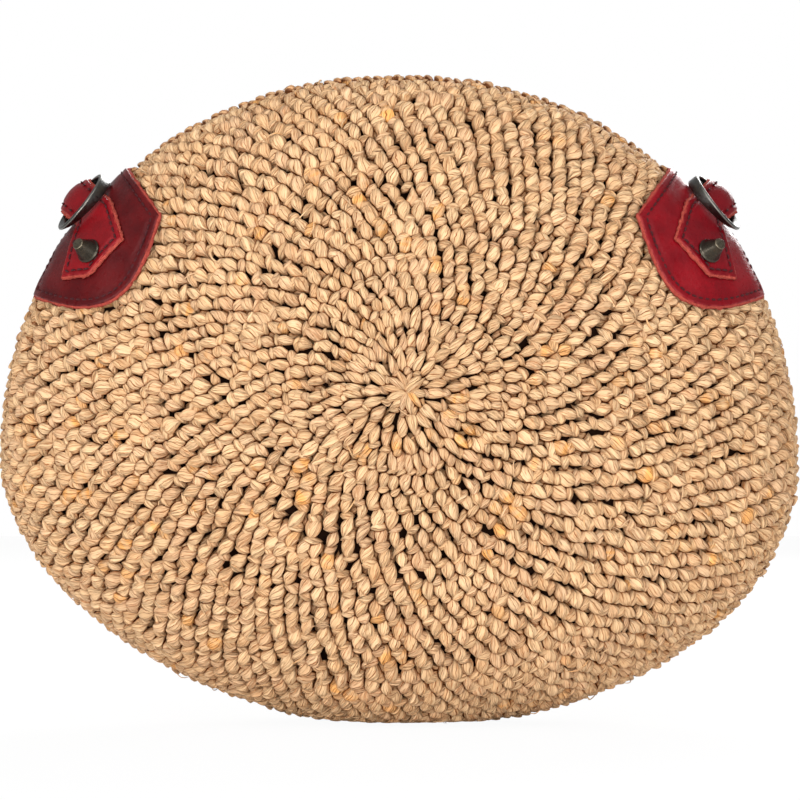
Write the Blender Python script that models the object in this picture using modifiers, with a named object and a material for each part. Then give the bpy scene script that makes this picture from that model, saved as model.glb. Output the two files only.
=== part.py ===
"""Round crocheted raffia handbag with two leather ring tabs.

Metres, +Z up. The bag stands on its flattened base with the mouth at the top,
the front faces -Y, and the origin is on the floor under the middle of the bag.
"""

import math

import bmesh
import bpy
from mathutils import Matrix, Vector

# Bag body, measured over the crocheted skin
BAG_WIDTH = 0.397
BAG_DEPTH = 0.160
BELLY_TO_TOP = 0.191
BELLY_TO_BASE = 0.132
BASE_FLAT = 0.002
CROCHET_WALL = 0.007
SEAM_GAP = 0.0066
MOUTH_OPENING = 0.046
MOUTH_START_DEG = 41.0

# Roundness of the outline and fullness of the section, without unit
TOP_ROUND_SHARE = 2.1
BASE_ROUND_SHARE = 1.92
SIDE_FULL_SHARE = 2.0
BASE_FULL_SHARE = 3.4

# Lining and the crocheted joining row
LINING_WALL = 0.001
LINING_GAP = 0.0010
LINING_HEM_DROP_DEG = 4.0
JOINING_ROW_THICKNESS = 0.006
JOINING_ROW_OVERLAP_DEG = 1.0

# Leather
PATCH_THICKNESS = 0.002
STRAP_THICKNESS = 0.002
BACKING_THICKNESS = 0.0015
BACKING_DIAMETER = 0.016
LEATHER_GAP = 0.0005
SEAT_GAP = 0.0003

# Tab layout. Along runs down the rim from the tab's middle, across runs over the
# rim from its crest, both measured over the skin.
TAB_ANGLE_DEG = 40.5
PATCH_NECK_UP = -0.0235
PATCH_NECK_DOWN = 0.0210
PATCH_UPPER_TIP = (-0.0175, 0.0558)
PATCH_LOWER_TIP = (0.0550, 0.0130)
PATCH_ARC_PULL = (0.0490, 0.0965)
STRAP_NECK_UP = -0.0054
STRAP_NECK_DOWN = 0.0132
STRAP_UPPER_TIP = (0.0050, 0.0510)
STRAP_LOWER_TIP = (0.0392, 0.0340)
STRAP_POINT = (0.0298, 0.0480)
STRAP_FLARE_SHARE = 1.2
STRAP_NECK_SHARE = 0.55
PATCH_FLARE_SHARE = 1.5
PATCH_NECK_SHARE = 0.0

# Strap loop and ring
TUNNEL_HEIGHT = 0.0098
LOOP_REACH = 0.0175
RING_DIAMETER = 0.0330
RING_BAND_THICKNESS = 0.0019
RING_BAND_WIDE = 0.0064
RING_BAND_NARROW = 0.0046
RING_SET_BACK = 0.0018
RING_TWIST_DEG = 62.0
RING_LEAN_DEG = 103.0

# Cone studs and their screws
STUD_ALONG = 0.0205
STUD_ACROSS = 0.0408
STUD_BASE_DIAMETER = 0.0125
STUD_TOP_DIAMETER = 0.0055
STUD_HEIGHT = 0.0095
STUD_LIP = 0.0008
STUD_EDGE = 0.0003
SCREW_DIAMETER = 0.003
SCREW_THREAD_GAP = 0.0003
SCREW_BITE = 0.005
SCREW_HEAD_DIAMETER = 0.009
SCREW_HEAD_HEIGHT = 0.0015
SCREW_HOLE = 0.0037
SCREW_END_ROOM = 0.001
BACKING_STAND_OFF = 0.0018

# Mesh fineness
RIM_STEPS = 48
SKIN_RINGS = 8
RING_SPACING_SHARE = 1.25
RIM_BORDER_DEG = 1.0
ROW_POINTS = 56
ROW_SECTION_STEPS = 2
PATCH_COLUMNS = 11
PATCH_ROWS = 9
STRAP_COLUMNS = 6
STRAP_ROWS = 12
RING_STEPS = 36
TURNED_STEPS = 20
HOLE_STEPS = 14
ARC_STEPS = 240
SLOPE_STEP_DEG = 0.05
WELD_DISTANCE = 0.00001
CUT_OVERRUN = 0.020

FRONT = -1
BACK = 1
RIGHT = 1
LEFT = -1

HALF_WIDTH = BAG_WIDTH / 2
HALF_DEPTH = BAG_DEPTH / 2
BELLY_HEIGHT = BELLY_TO_BASE - BASE_FLAT
PATCH_TOP = LEATHER_GAP + PATCH_THICKNESS
STRAP_SEAT = PATCH_TOP + SEAT_GAP
STRAP_TOP = STRAP_SEAT + STRAP_THICKNESS
LINING_LIFT = -(CROCHET_WALL + LINING_GAP)
RING_CENTRE_RADIUS = (RING_DIAMETER - RING_BAND_THICKNESS) / 2
HINGE_LIFT = PATCH_TOP + TUNNEL_HEIGHT / 2


def clear_scene():
    """Removes every object, so that the model starts from an empty scene."""
    for item in list(bpy.data.objects):
        bpy.data.objects.remove(item, do_unlink=True)


def make_collection(name):
    """Makes a collection under the scene's own one."""
    collection = bpy.data.collections.new(name)
    bpy.context.scene.collection.children.link(collection)
    return collection


def make_material(name, colour, roughness, metallic):
    """A Principled material with one colour."""
    material = bpy.data.materials.new(name)
    material.use_nodes = True
    shader = material.node_tree.nodes["Principled BSDF"]
    shader.inputs["Base Color"].default_value = (*colour, 1.0)
    shader.inputs["Roughness"].default_value = roughness
    shader.inputs["Metallic"].default_value = metallic
    return material


# The skin: a smooth pouch shape whose points are found from the angle round the
# rim and the turn from the rim towards the middle of a panel


def rim_radius(angle):
    """Distance from the belly's middle to the outline, seen from the front."""
    upper = math.sin(angle) >= 0
    rise = BELLY_TO_TOP if upper else BELLY_TO_BASE
    power = TOP_ROUND_SHARE if upper else BASE_ROUND_SHARE
    across = abs(math.cos(angle) / HALF_WIDTH) ** power
    up = abs(math.sin(angle) / rise) ** power
    return (across + up) ** (-1 / power)


def half_gap(angle):
    """Half of the gap between the two panels' rims: the seam, then the mouth."""
    start = math.radians(MOUTH_START_DEG)
    share = (angle - start) / (math.pi - 2 * start)
    seam = SEAM_GAP / 2
    if share <= 0 or share >= 1:
        return seam
    return seam + (MOUTH_OPENING / 2 - seam) * math.sin(math.pi * share) ** 2


def fullness(angle):
    """How boxy the section is: round at the sides, fuller where the bag sags."""
    sag = max(0.0, -math.sin(angle)) ** 2
    return SIDE_FULL_SHARE + (BASE_FULL_SHARE - SIDE_FULL_SHARE) * sag


def skin_point(angle, turn, side):
    """A point of the skin. Turn is 0 at the rim and a right angle at the middle."""
    reach = rim_radius(angle) * max(0.0, math.cos(turn)) ** (2 / fullness(angle))
    gap = half_gap(angle)
    depth = gap + (HALF_DEPTH - gap) * math.sin(turn)
    return Vector(
        (
            reach * math.cos(angle),
            side * depth,
            BELLY_HEIGHT + reach * math.sin(angle),
        )
    )


def skin_normal(angle, turn, side):
    """The outward direction of the skin at a point of it."""
    step = math.radians(SLOPE_STEP_DEG)
    lower = max(turn - step, 0.0)
    round_rim = skin_point(angle + step, turn, side) - skin_point(angle - step, turn, side)
    towards_middle = skin_point(angle, turn + step, side) - skin_point(angle, lower, side)
    normal = round_rim.cross(towards_middle) * -side
    return normal.normalized()


def wrap_angle(angle):
    """The same direction, between minus a quarter turn and three quarters."""
    while angle < -math.pi / 2:
        angle += 2 * math.pi
    while angle >= 3 * math.pi / 2:
        angle -= 2 * math.pi
    return angle


def lifted_point(angle, turn, side, lift):
    """A point of the skin moved outward by lift."""
    return skin_point(angle, turn, side) + skin_normal(angle, turn, side) * lift


def skin_turns():
    """Turns of the rings of points on a panel, closer together near the rim.

    A narrow border beside the rim keeps the wall's edge square to the seam.
    """
    quarter = math.pi / 2
    inner = range(1, SKIN_RINGS - 1)
    wide = [quarter * (ring / (SKIN_RINGS - 1)) ** RING_SPACING_SHARE for ring in inner]
    return [0.0, math.radians(RIM_BORDER_DEG)] + wide


def rim_angles():
    """Angles of the points round the rim, with one at each end of the mouth."""
    start = math.radians(MOUTH_START_DEG)
    mouth_steps = round(RIM_STEPS * (math.pi - 2 * start) / (2 * math.pi))
    seam_steps = RIM_STEPS - mouth_steps
    mouth = [start + (math.pi - 2 * start) * i / mouth_steps for i in range(mouth_steps)]
    seam = [
        math.pi - start + (math.pi + 2 * start) * i / seam_steps for i in range(seam_steps)
    ]
    return [wrap_angle(angle) for angle in mouth + seam], mouth_steps


def place_of(hand, along, across):
    """Angle, turn, side and slit share of a place on a tab, from distances on the skin."""
    middle = math.radians(TAB_ANGLE_DEG)
    radius = rim_radius(middle)
    gap = SEAM_GAP / 2
    side = FRONT if across >= 0 else BACK
    over_slit = min(abs(across), gap)
    left_over = abs(across) - over_slit
    turn = 0.0
    step = (math.pi / 2) / ARC_STEPS
    while left_over > 0:
        run = step * math.hypot(radius * math.sin(turn), (HALF_DEPTH - gap) * math.cos(turn))
        part = min(1.0, left_over / run)
        turn += step * part
        left_over = left_over - run if part == 1.0 else 0.0
    angle = middle - along / (radius * (1 + math.cos(turn)) / 2)
    if hand == LEFT:
        angle = math.pi - angle
    return angle, turn, side, over_slit / gap


def tab_point(hand, along, across, lift):
    """A point over the tab's place on the skin. The slit between panels is bridged."""
    angle, turn, side, slit_share = place_of(hand, along, across)
    point = lifted_point(angle, turn, side, lift)
    if turn == 0.0:
        point.y = side * slit_share * half_gap(angle)
    return point


def mesh_object(name, points, faces, collection, material):
    """Links an object with a mesh made from points and faces."""
    mesh = bpy.data.meshes.new(name)
    mesh.from_pydata(points, [], faces)
    mesh.validate()
    mesh.materials.append(material)
    item = bpy.data.objects.new(name, mesh)
    collection.objects.link(item)
    return item


def turn_faces_out(item, towards):
    """Flips an open sheet's faces where its first face looks away from towards."""
    sheet = bmesh.new()
    sheet.from_mesh(item.data)
    bmesh.ops.recalc_face_normals(sheet, faces=sheet.faces)
    sheet.faces.ensure_lookup_table()
    if sheet.faces[0].normal.dot(towards(sheet.faces[0].calc_center_median())) < 0:
        bmesh.ops.reverse_faces(sheet, faces=sheet.faces)
    sheet.to_mesh(item.data)
    sheet.free()


def thicken(item, thickness, outward):
    """Gives an open sheet its thickness on one side."""
    solid = item.modifiers.new("thickness", "SOLIDIFY")
    solid.thickness = thickness
    solid.offset = 1.0 if outward else -1.0
    solid.use_even_offset = True
    solid.thickness_clamp = 0.0


def cut(item, cutter):
    """Cuts the cutter's shape out of an object."""
    boolean = item.modifiers.new("cut " + cutter.name, "BOOLEAN")
    boolean.operation = "DIFFERENCE"
    boolean.solver = "EXACT"
    boolean.object = cutter


def hide_as_cutter(item):
    """Marks an object as a cutter."""
    item.hide_render = True
    item.display_type = "WIRE"


def away_from_belly(place):
    """Direction from the middle of the bag to a place on it."""
    return place - Vector((0, 0, BELLY_HEIGHT))


def make_panel(name, side, collection, material):
    """One crocheted face of the bag, from its rim to its middle."""
    angles, _ = rim_angles()
    points = []
    for turn in skin_turns():
        points += [skin_point(angle, turn, side) for angle in angles]
    points.append(skin_point(0, math.pi / 2, side))
    count = len(angles)
    faces = []
    for ring in range(SKIN_RINGS - 1):
        for i in range(count):
            after = (i + 1) % count
            faces.append(
                (
                    ring * count + i,
                    ring * count + after,
                    (ring + 1) * count + after,
                    (ring + 1) * count + i,
                )
            )
    last = (SKIN_RINGS - 1) * count
    for i in range(count):
        faces.append((last + i, last + (i + 1) % count, len(points) - 1))
    panel = mesh_object(name, points, faces, collection, material)
    turn_faces_out(panel, away_from_belly)
    thicken(panel, CROCHET_WALL, outward=False)
    return panel


def make_lining(name, collection, material):
    """The sewn lining: two thin sheets joined round the seam and open at the mouth."""
    angles, mouth_steps = rim_angles()
    turns = skin_turns()
    points = []
    index = {}

    def add(key, point):
        if key not in index:
            index[key] = len(points)
            points.append(point)
        return index[key]

    def corner(ring, i, side):
        i %= len(angles)
        angle = angles[i]
        in_mouth = 0 < i < mouth_steps
        if ring == SKIN_RINGS:
            middle = lifted_point(math.pi / 2, math.pi / 2, side, 0)
            return add(("middle", side), middle - Vector((0, side * -LINING_LIFT, 0)))
        if ring == 0 and not in_mouth:
            point = lifted_point(angle, 0.0, side, LINING_LIFT)
            point.y = 0.0
            return add(("seam", i), point)
        turn = turns[ring]
        if in_mouth:
            turn += math.radians(LINING_HEM_DROP_DEG) * (1 - turn / (math.pi / 2))
        return add((ring, i, side), lifted_point(angle, turn, side, LINING_LIFT))

    faces = []
    for side in (FRONT, BACK):
        for ring in range(SKIN_RINGS):
            for i in range(len(angles)):
                face = [
                    corner(ring, i, side),
                    corner(ring, i + 1, side),
                    corner(ring + 1, i + 1, side),
                    corner(ring + 1, i, side),
                ]
                if side == BACK:
                    face.reverse()
                faces.append(tuple(dict.fromkeys(face)))
    lining = mesh_object(name, points, faces, collection, material)
    turn_faces_out(lining, away_from_belly)
    thicken(lining, LINING_WALL, outward=False)
    return lining


def make_joining_row(name, collection, material):
    """The crocheted row that closes the seam between the panels, as a round cord."""
    start = math.radians(MOUTH_START_DEG - JOINING_ROW_OVERLAP_DEG)
    sweep = math.pi + 2 * start
    curve = bpy.data.curves.new(name, "CURVE")
    curve.dimensions = "3D"
    curve.bevel_depth = JOINING_ROW_THICKNESS / 2
    curve.bevel_resolution = ROW_SECTION_STEPS
    curve.use_fill_caps = True
    spline = curve.splines.new("POLY")
    spline.points.add(ROW_POINTS - 1)
    for i, place in enumerate(spline.points):
        angle = wrap_angle(start - sweep * i / (ROW_POINTS - 1))
        point = lifted_point(angle, 0.0, FRONT, -CROCHET_WALL / 2)
        place.co = (point.x, 0, point.z, 1)
    guide = bpy.data.objects.new(name + "_guide", curve)
    collection.objects.link(guide)
    depsgraph = bpy.context.evaluated_depsgraph_get()
    mesh = bpy.data.meshes.new_from_object(guide.evaluated_get(depsgraph))
    body = bmesh.new()
    body.from_mesh(mesh)
    bmesh.ops.remove_doubles(body, verts=body.verts, dist=WELD_DISTANCE)
    bmesh.ops.recalc_face_normals(body, faces=body.faces)
    body.to_mesh(mesh)
    body.free()
    bpy.data.objects.remove(guide, do_unlink=True)
    mesh.name = name
    mesh.materials.clear()
    mesh.materials.append(material)
    row = bpy.data.objects.new(name, mesh)
    collection.objects.link(row)
    return row


def make_floor_cutter(collection, material):
    """A block below the floor that flattens the base."""
    bpy.ops.mesh.primitive_cube_add(size=1)
    cutter = bpy.context.object
    cutter.name = "floor_cutter"
    for owner in list(cutter.users_collection):
        owner.objects.unlink(cutter)
    collection.objects.link(cutter)
    cutter.scale = (BAG_WIDTH, BAG_DEPTH, CUT_OVERRUN)
    cutter.location = (0, 0, -CUT_OVERRUN / 2)
    cutter.data.materials.append(material)
    hide_as_cutter(cutter)
    return cutter


def bezier(first, pull, last, share):
    """A point on a curve from first to last that is drawn towards pull."""
    rest = 1 - share
    return tuple(
        rest * rest * a + 2 * rest * share * b + share * share * c
        for a, b, c in zip(first, pull, last)
    )


def patch_end(share):
    """The patch's rounded end, from its upper tip to its lower tip."""
    return bezier(PATCH_UPPER_TIP, PATCH_ARC_PULL, PATCH_LOWER_TIP, share)


def strap_end(share):
    """The strap's pointed end: two straight cuts that meet at its point."""
    if share <= 1 / 2:
        first, last, part = STRAP_UPPER_TIP, STRAP_POINT, share * 2
    else:
        first, last, part = STRAP_POINT, STRAP_LOWER_TIP, share * 2 - 1
    return tuple(a + (b - a) * part for a, b in zip(first, last))


def patch_lift(across):
    """The patch lies on the crochet all over."""
    return LEATHER_GAP


def strap_lift(across):
    """The strap lies on the patch and rises over the rim as a loop for the ring."""
    if abs(across) >= LOOP_REACH:
        return STRAP_SEAT
    rise = math.cos(math.pi / 2 * abs(across) / LOOP_REACH) ** 2
    return STRAP_SEAT + TUNNEL_HEIGHT * rise


def make_leather(name, hand, neck, end, flare, lift, steps, thickness, collection, material):
    """A leather piece folded over the rim, alike on the front and on the back.

    Flare holds the share of the half length that keeps the neck's width, and how
    slowly the piece opens after it.
    """
    neck_share, flare_share = flare
    columns, rows = steps
    points = []
    for row in range(-rows, rows + 1):
        share = abs(row) / rows
        for column in range(columns + 1):
            part = column / columns
            along_end, across_end = end(part)
            along_neck = neck[0] + (neck[1] - neck[0]) * part
            opening = max(0.0, share - neck_share) / (1 - neck_share)
            along = along_neck + (along_end - along_neck) * opening**flare_share
            across = across_end * share
            if row < 0:
                across = -across
            points.append(tab_point(hand, along, across, lift(across)))
    faces = []
    for row in range(2 * rows):
        for column in range(columns):
            first = row * (columns + 1) + column
            faces.append((first, first + 1, first + columns + 2, first + columns + 1))
    sheet = mesh_object(name, points, faces, collection, material)
    turn_faces_out(sheet, away_from_belly)
    thicken(sheet, thickness, outward=True)
    return sheet


def frame_at(hand, along, across, lift):
    """A placing whose Z axis is the skin's outward direction at a place on the tab."""
    angle, turn, side, _ = place_of(hand, along, across)
    normal = skin_normal(angle, turn, side)
    sideways = Vector((0, 1, 0)).cross(normal).normalized()
    forward = normal.cross(sideways)
    turned = Matrix((sideways, forward, normal)).transposed().to_4x4()
    return Matrix.Translation(tab_point(hand, along, across, lift)) @ turned


def hinge_frame(hand):
    """The ring's hinge: X along the rim, Z outward, on the middle of the strap loop."""
    along = (STRAP_NECK_UP + STRAP_NECK_DOWN) / 2
    return frame_at(hand, along, 0.0, HINGE_LIFT)


def turned_object(name, profile, closed, steps, placing, collection, material):
    """A turned piece: a profile of radius and height, spun about Z by a Screw."""
    points = [(radius, 0, height) for radius, height in profile]
    edges = [(i, i + 1) for i in range(len(points) - 1)]
    if closed:
        edges.append((len(points) - 1, 0))
    mesh = bpy.data.meshes.new(name)
    mesh.from_pydata(points, edges, [])
    mesh.materials.append(material)
    item = bpy.data.objects.new(name, mesh)
    collection.objects.link(item)
    item.matrix_world = placing
    spin = item.modifiers.new("spin", "SCREW")
    spin.axis = "Z"
    spin.steps = steps
    spin.render_steps = steps
    spin.use_merge_vertices = True
    spin.merge_threshold = WELD_DISTANCE
    spin.use_smooth_shade = False
    return item


def stud_profile():
    """Truncated cone with a short lip and a threaded blind hole."""
    base = STUD_BASE_DIAMETER / 2
    top = STUD_TOP_DIAMETER / 2
    bore = (SCREW_DIAMETER + SCREW_THREAD_GAP) / 2
    depth = SCREW_BITE + SCREW_END_ROOM
    return [
        (0, STUD_HEIGHT),
        (top - STUD_EDGE, STUD_HEIGHT),
        (top, STUD_HEIGHT - STUD_EDGE),
        (base - STUD_EDGE, STUD_LIP + STUD_EDGE),
        (base, STUD_LIP),
        (base, 0),
        (bore, 0),
        (bore, depth),
        (0, depth),
    ]


def screw_profile(length):
    """Flat-headed screw seen from the inside of the bag, its post pointing outward."""
    post = SCREW_DIAMETER / 2
    head = SCREW_HEAD_DIAMETER / 2
    return [
        (0, length),
        (post, length),
        (post, 0),
        (head, 0),
        (head, -SCREW_HEAD_HEIGHT),
        (0, -SCREW_HEAD_HEIGHT),
    ]


def backing_profile():
    """Round leather washer."""
    hole = SCREW_HOLE / 2
    outer = BACKING_DIAMETER / 2
    return [(hole, 0), (outer, 0), (outer, -BACKING_THICKNESS), (hole, -BACKING_THICKNESS)]


def make_hole_cutter(name, placing, collection, material):
    """A round cutter for one screw hole, through every layer."""
    mesh = bpy.data.meshes.new(name)
    body = bmesh.new()
    bmesh.ops.create_cone(
        body,
        cap_ends=True,
        segments=HOLE_STEPS,
        radius1=SCREW_HOLE / 2,
        radius2=SCREW_HOLE / 2,
        depth=2 * CUT_OVERRUN,
    )
    body.to_mesh(mesh)
    body.free()
    mesh.materials.append(material)
    cutter = bpy.data.objects.new(name, mesh)
    collection.objects.link(cutter)
    cutter.matrix_world = placing
    hide_as_cutter(cutter)
    return cutter


def ring_section(swing):
    """Corners of the band at one place: out along the ring and up along its axis."""
    low_end = math.sin(swing)
    width = RING_BAND_WIDE + (RING_BAND_NARROW - RING_BAND_WIDE) * (1 + low_end) / 2
    half_wide = width / 2
    half_thin = RING_BAND_THICKNESS / 2
    bevel = half_thin / 2
    twist = math.radians(RING_TWIST_DEG) * (1 + low_end) / 2
    outline = [
        (half_thin, bevel - half_wide),
        (half_thin, half_wide - bevel),
        (bevel, half_wide),
        (-bevel, half_wide),
        (-half_thin, half_wide - bevel),
        (-half_thin, bevel - half_wide),
        (-bevel, -half_wide),
        (bevel, -half_wide),
    ]
    return [
        (
            thin * math.cos(twist) - wide * math.sin(twist),
            thin * math.sin(twist) + wide * math.cos(twist),
        )
        for thin, wide in outline
    ]


def make_ring(name, hand, collection, material):
    """A flat-banded ring with a twist, lying forward on the strap it passes through.

    The two rings are mirrored, each with its wide end towards the mouth.
    """
    lean = math.radians(RING_LEAN_DEG)
    reach = RING_CENTRE_RADIUS - RING_SET_BACK
    points = []
    for step in range(RING_STEPS):
        swing = 2 * math.pi * step / RING_STEPS
        for out, up in ring_section(swing):
            radius = RING_CENTRE_RADIUS + out
            along = radius * math.sin(swing)
            away = reach + radius * math.cos(swing)
            points.append((along, away, hand * up))
    corners = len(points) // RING_STEPS
    faces = []
    for step in range(RING_STEPS):
        after = (step + 1) % RING_STEPS
        for corner in range(corners):
            beside = (corner + 1) % corners
            faces.append(
                (
                    step * corners + corner,
                    after * corners + corner,
                    after * corners + beside,
                    step * corners + beside,
                )
            )
    ring = mesh_object(name, points, faces, collection, material)
    hinge = hinge_frame(hand)
    downhill = hinge.to_3x3() @ Vector((1, 0, 0))
    if downhill.z > 0:
        downhill = -downhill
    outward = hinge.to_3x3() @ Vector((0, 0, 1))
    forward = Vector((0, FRONT, 0))
    away = outward * math.cos(lean) + forward * math.sin(lean)
    axis = downhill.cross(away)
    turned = Matrix((downhill, away, axis)).transposed().to_4x4()
    ring.matrix_world = Matrix.Translation(hinge.translation) @ turned
    body = bmesh.new()
    body.from_mesh(ring.data)
    bmesh.ops.recalc_face_normals(body, faces=body.faces)
    body.to_mesh(ring.data)
    body.free()
    return ring


def make_tab(hand, parts, cutters, finishes, crochet):
    """One leather tab with its strap, ring and the hardware on both sides."""
    word = "right" if hand == RIGHT else "left"
    patch = make_leather(
        "tab_patch_" + word,
        hand,
        (PATCH_NECK_UP, PATCH_NECK_DOWN),
        patch_end,
        (PATCH_NECK_SHARE, PATCH_FLARE_SHARE),
        patch_lift,
        (PATCH_COLUMNS, PATCH_ROWS),
        PATCH_THICKNESS,
        parts,
        finishes["leather_" + word],
    )
    strap = make_leather(
        "loop_strap_" + word,
        hand,
        (STRAP_NECK_UP, STRAP_NECK_DOWN),
        strap_end,
        (STRAP_NECK_SHARE, STRAP_FLARE_SHARE),
        strap_lift,
        (STRAP_COLUMNS, STRAP_ROWS),
        STRAP_THICKNESS,
        parts,
        finishes["strap_" + word],
    )
    make_ring("ring_" + word, hand, parts, finishes["ring_" + word])
    panels = {FRONT: crochet["front"], BACK: crochet["back"]}
    inside = CROCHET_WALL + LINING_GAP + LINING_WALL + BACKING_STAND_OFF
    for side, side_word in ((FRONT, "front"), (BACK, "back")):
        across = STUD_ACROSS if side == FRONT else -STUD_ACROSS
        label = f"{word}_{side_word}"
        seat = frame_at(hand, STUD_ALONG, across, STRAP_TOP + SEAT_GAP)
        under = frame_at(hand, STUD_ALONG, across, -inside)
        head = frame_at(hand, STUD_ALONG, across, -(inside + BACKING_THICKNESS + SEAT_GAP))
        turned_object(
            "cone_stud_" + label,
            stud_profile(),
            False,
            TURNED_STEPS,
            seat,
            parts,
            finishes["metal"],
        )
        turned_object(
            "backing_washer_" + label,
            backing_profile(),
            True,
            TURNED_STEPS,
            under,
            parts,
            finishes["backing"],
        )
        length = (seat.translation - head.translation).length + SCREW_BITE
        turned_object(
            "stud_screw_" + label,
            screw_profile(length),
            False,
            HOLE_STEPS,
            head,
            parts,
            finishes["screw"],
        )
        cutter = make_hole_cutter("hole_cutter_" + label, seat, cutters, finishes["cutter"])
        for item in (panels[side], crochet["lining"], patch, strap):
            cut(item, cutter)


def make_finishes():
    """Materials, one for each kind of piece."""
    return {
        "front": make_material("raffia_front", (0.62, 0.42, 0.24), 0.75, 0.0),
        "back": make_material("raffia_back", (0.60, 0.41, 0.23), 0.75, 0.0),
        "row": make_material("raffia_row", (0.58, 0.39, 0.22), 0.75, 0.0),
        "lining": make_material("lining_cotton", (0.03, 0.025, 0.02), 0.9, 0.0),
        "leather_left": make_material("leather_left", (0.10, 0.012, 0.018), 0.38, 0.0),
        "leather_right": make_material("leather_right", (0.20, 0.012, 0.018), 0.35, 0.0),
        "strap_left": make_material("strap_leather_left", (0.22, 0.015, 0.018), 0.4, 0.0),
        "strap_right": make_material("strap_leather_right", (0.17, 0.015, 0.02), 0.4, 0.0),
        "ring_left": make_material("ring_metal_left", (0.10, 0.095, 0.085), 0.32, 1.0),
        "ring_right": make_material("ring_metal_right", (0.10, 0.095, 0.085), 0.32, 1.0),
        "metal": make_material("stud_metal", (0.13, 0.12, 0.09), 0.35, 1.0),
        "screw": make_material("screw_steel", (0.35, 0.34, 0.32), 0.4, 1.0),
        "backing": make_material("backing_leather", (0.16, 0.05, 0.03), 0.7, 0.0),
        "cutter": make_material("cutter", (0.8, 0.2, 0.2), 0.5, 0.0),
    }


def main():
    """Builds the bag."""
    clear_scene()
    parts = make_collection("raffia_handbag")
    cutters = make_collection("cutters")
    finishes = make_finishes()
    crochet = {
        "front": make_panel("front_panel", FRONT, parts, finishes["front"]),
        "back": make_panel("back_panel", BACK, parts, finishes["back"]),
        "lining": make_lining("lining", parts, finishes["lining"]),
    }
    row = make_joining_row("joining_row", parts, finishes["row"])
    floor = make_floor_cutter(cutters, finishes["cutter"])
    for item in (crochet["front"], crochet["back"], row):
        cut(item, floor)
    for hand in (RIGHT, LEFT):
        make_tab(hand, parts, cutters, finishes, crochet)


main()
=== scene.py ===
"""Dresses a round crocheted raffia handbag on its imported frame.

Every stitch, leather edge, thread stitch and piece of metal is a mesh of its own
shape, and rides on the body that carries it.
"""

import logging
import math
from dataclasses import dataclass, field
from enum import Enum
from typing import Callable, Sequence

import bmesh
import bpy
import numpy as np
from mathutils import Matrix, Vector
from mathutils.kdtree import KDTree


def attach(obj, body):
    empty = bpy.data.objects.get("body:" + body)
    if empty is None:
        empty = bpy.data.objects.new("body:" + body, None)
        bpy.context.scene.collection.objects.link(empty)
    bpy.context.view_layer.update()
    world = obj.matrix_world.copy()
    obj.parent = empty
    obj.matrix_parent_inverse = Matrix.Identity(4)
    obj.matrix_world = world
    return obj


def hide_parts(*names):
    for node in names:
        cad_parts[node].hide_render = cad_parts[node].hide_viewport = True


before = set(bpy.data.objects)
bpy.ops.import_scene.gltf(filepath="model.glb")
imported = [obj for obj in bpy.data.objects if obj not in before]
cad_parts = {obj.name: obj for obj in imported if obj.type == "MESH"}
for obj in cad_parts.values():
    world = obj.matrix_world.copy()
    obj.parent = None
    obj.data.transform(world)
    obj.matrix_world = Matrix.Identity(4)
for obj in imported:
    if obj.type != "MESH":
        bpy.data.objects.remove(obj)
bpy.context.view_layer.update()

QUARTER = math.pi / 2
FULL = 2 * math.pi
TINY = 1e-12
WELD = 1e-7
FLATTENED = 0.003
SIDEWAYS = np.array([0.0, 1.0, 0.0])
LOG = logging.getLogger("handbag")

Array = np.ndarray
Material = bpy.types.Material
Piece = bpy.types.Object
Socket = bpy.types.NodeSocket
Pair = tuple[float, float]
Colour = tuple[float, float, float]


class Side(Enum):
    """The two faces of the bag, as the sign of their Y."""

    FRONT = -1
    BACK = 1

    @property
    def word(self) -> str:
        """The face's name in a node's name."""
        return self.name.lower()


class Hand(Enum):
    """The two tabs, as the sign of their X."""

    RIGHT = 1
    LEFT = -1

    @property
    def word(self) -> str:
        """The tab's name in a node's name."""
        return self.name.lower()


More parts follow.
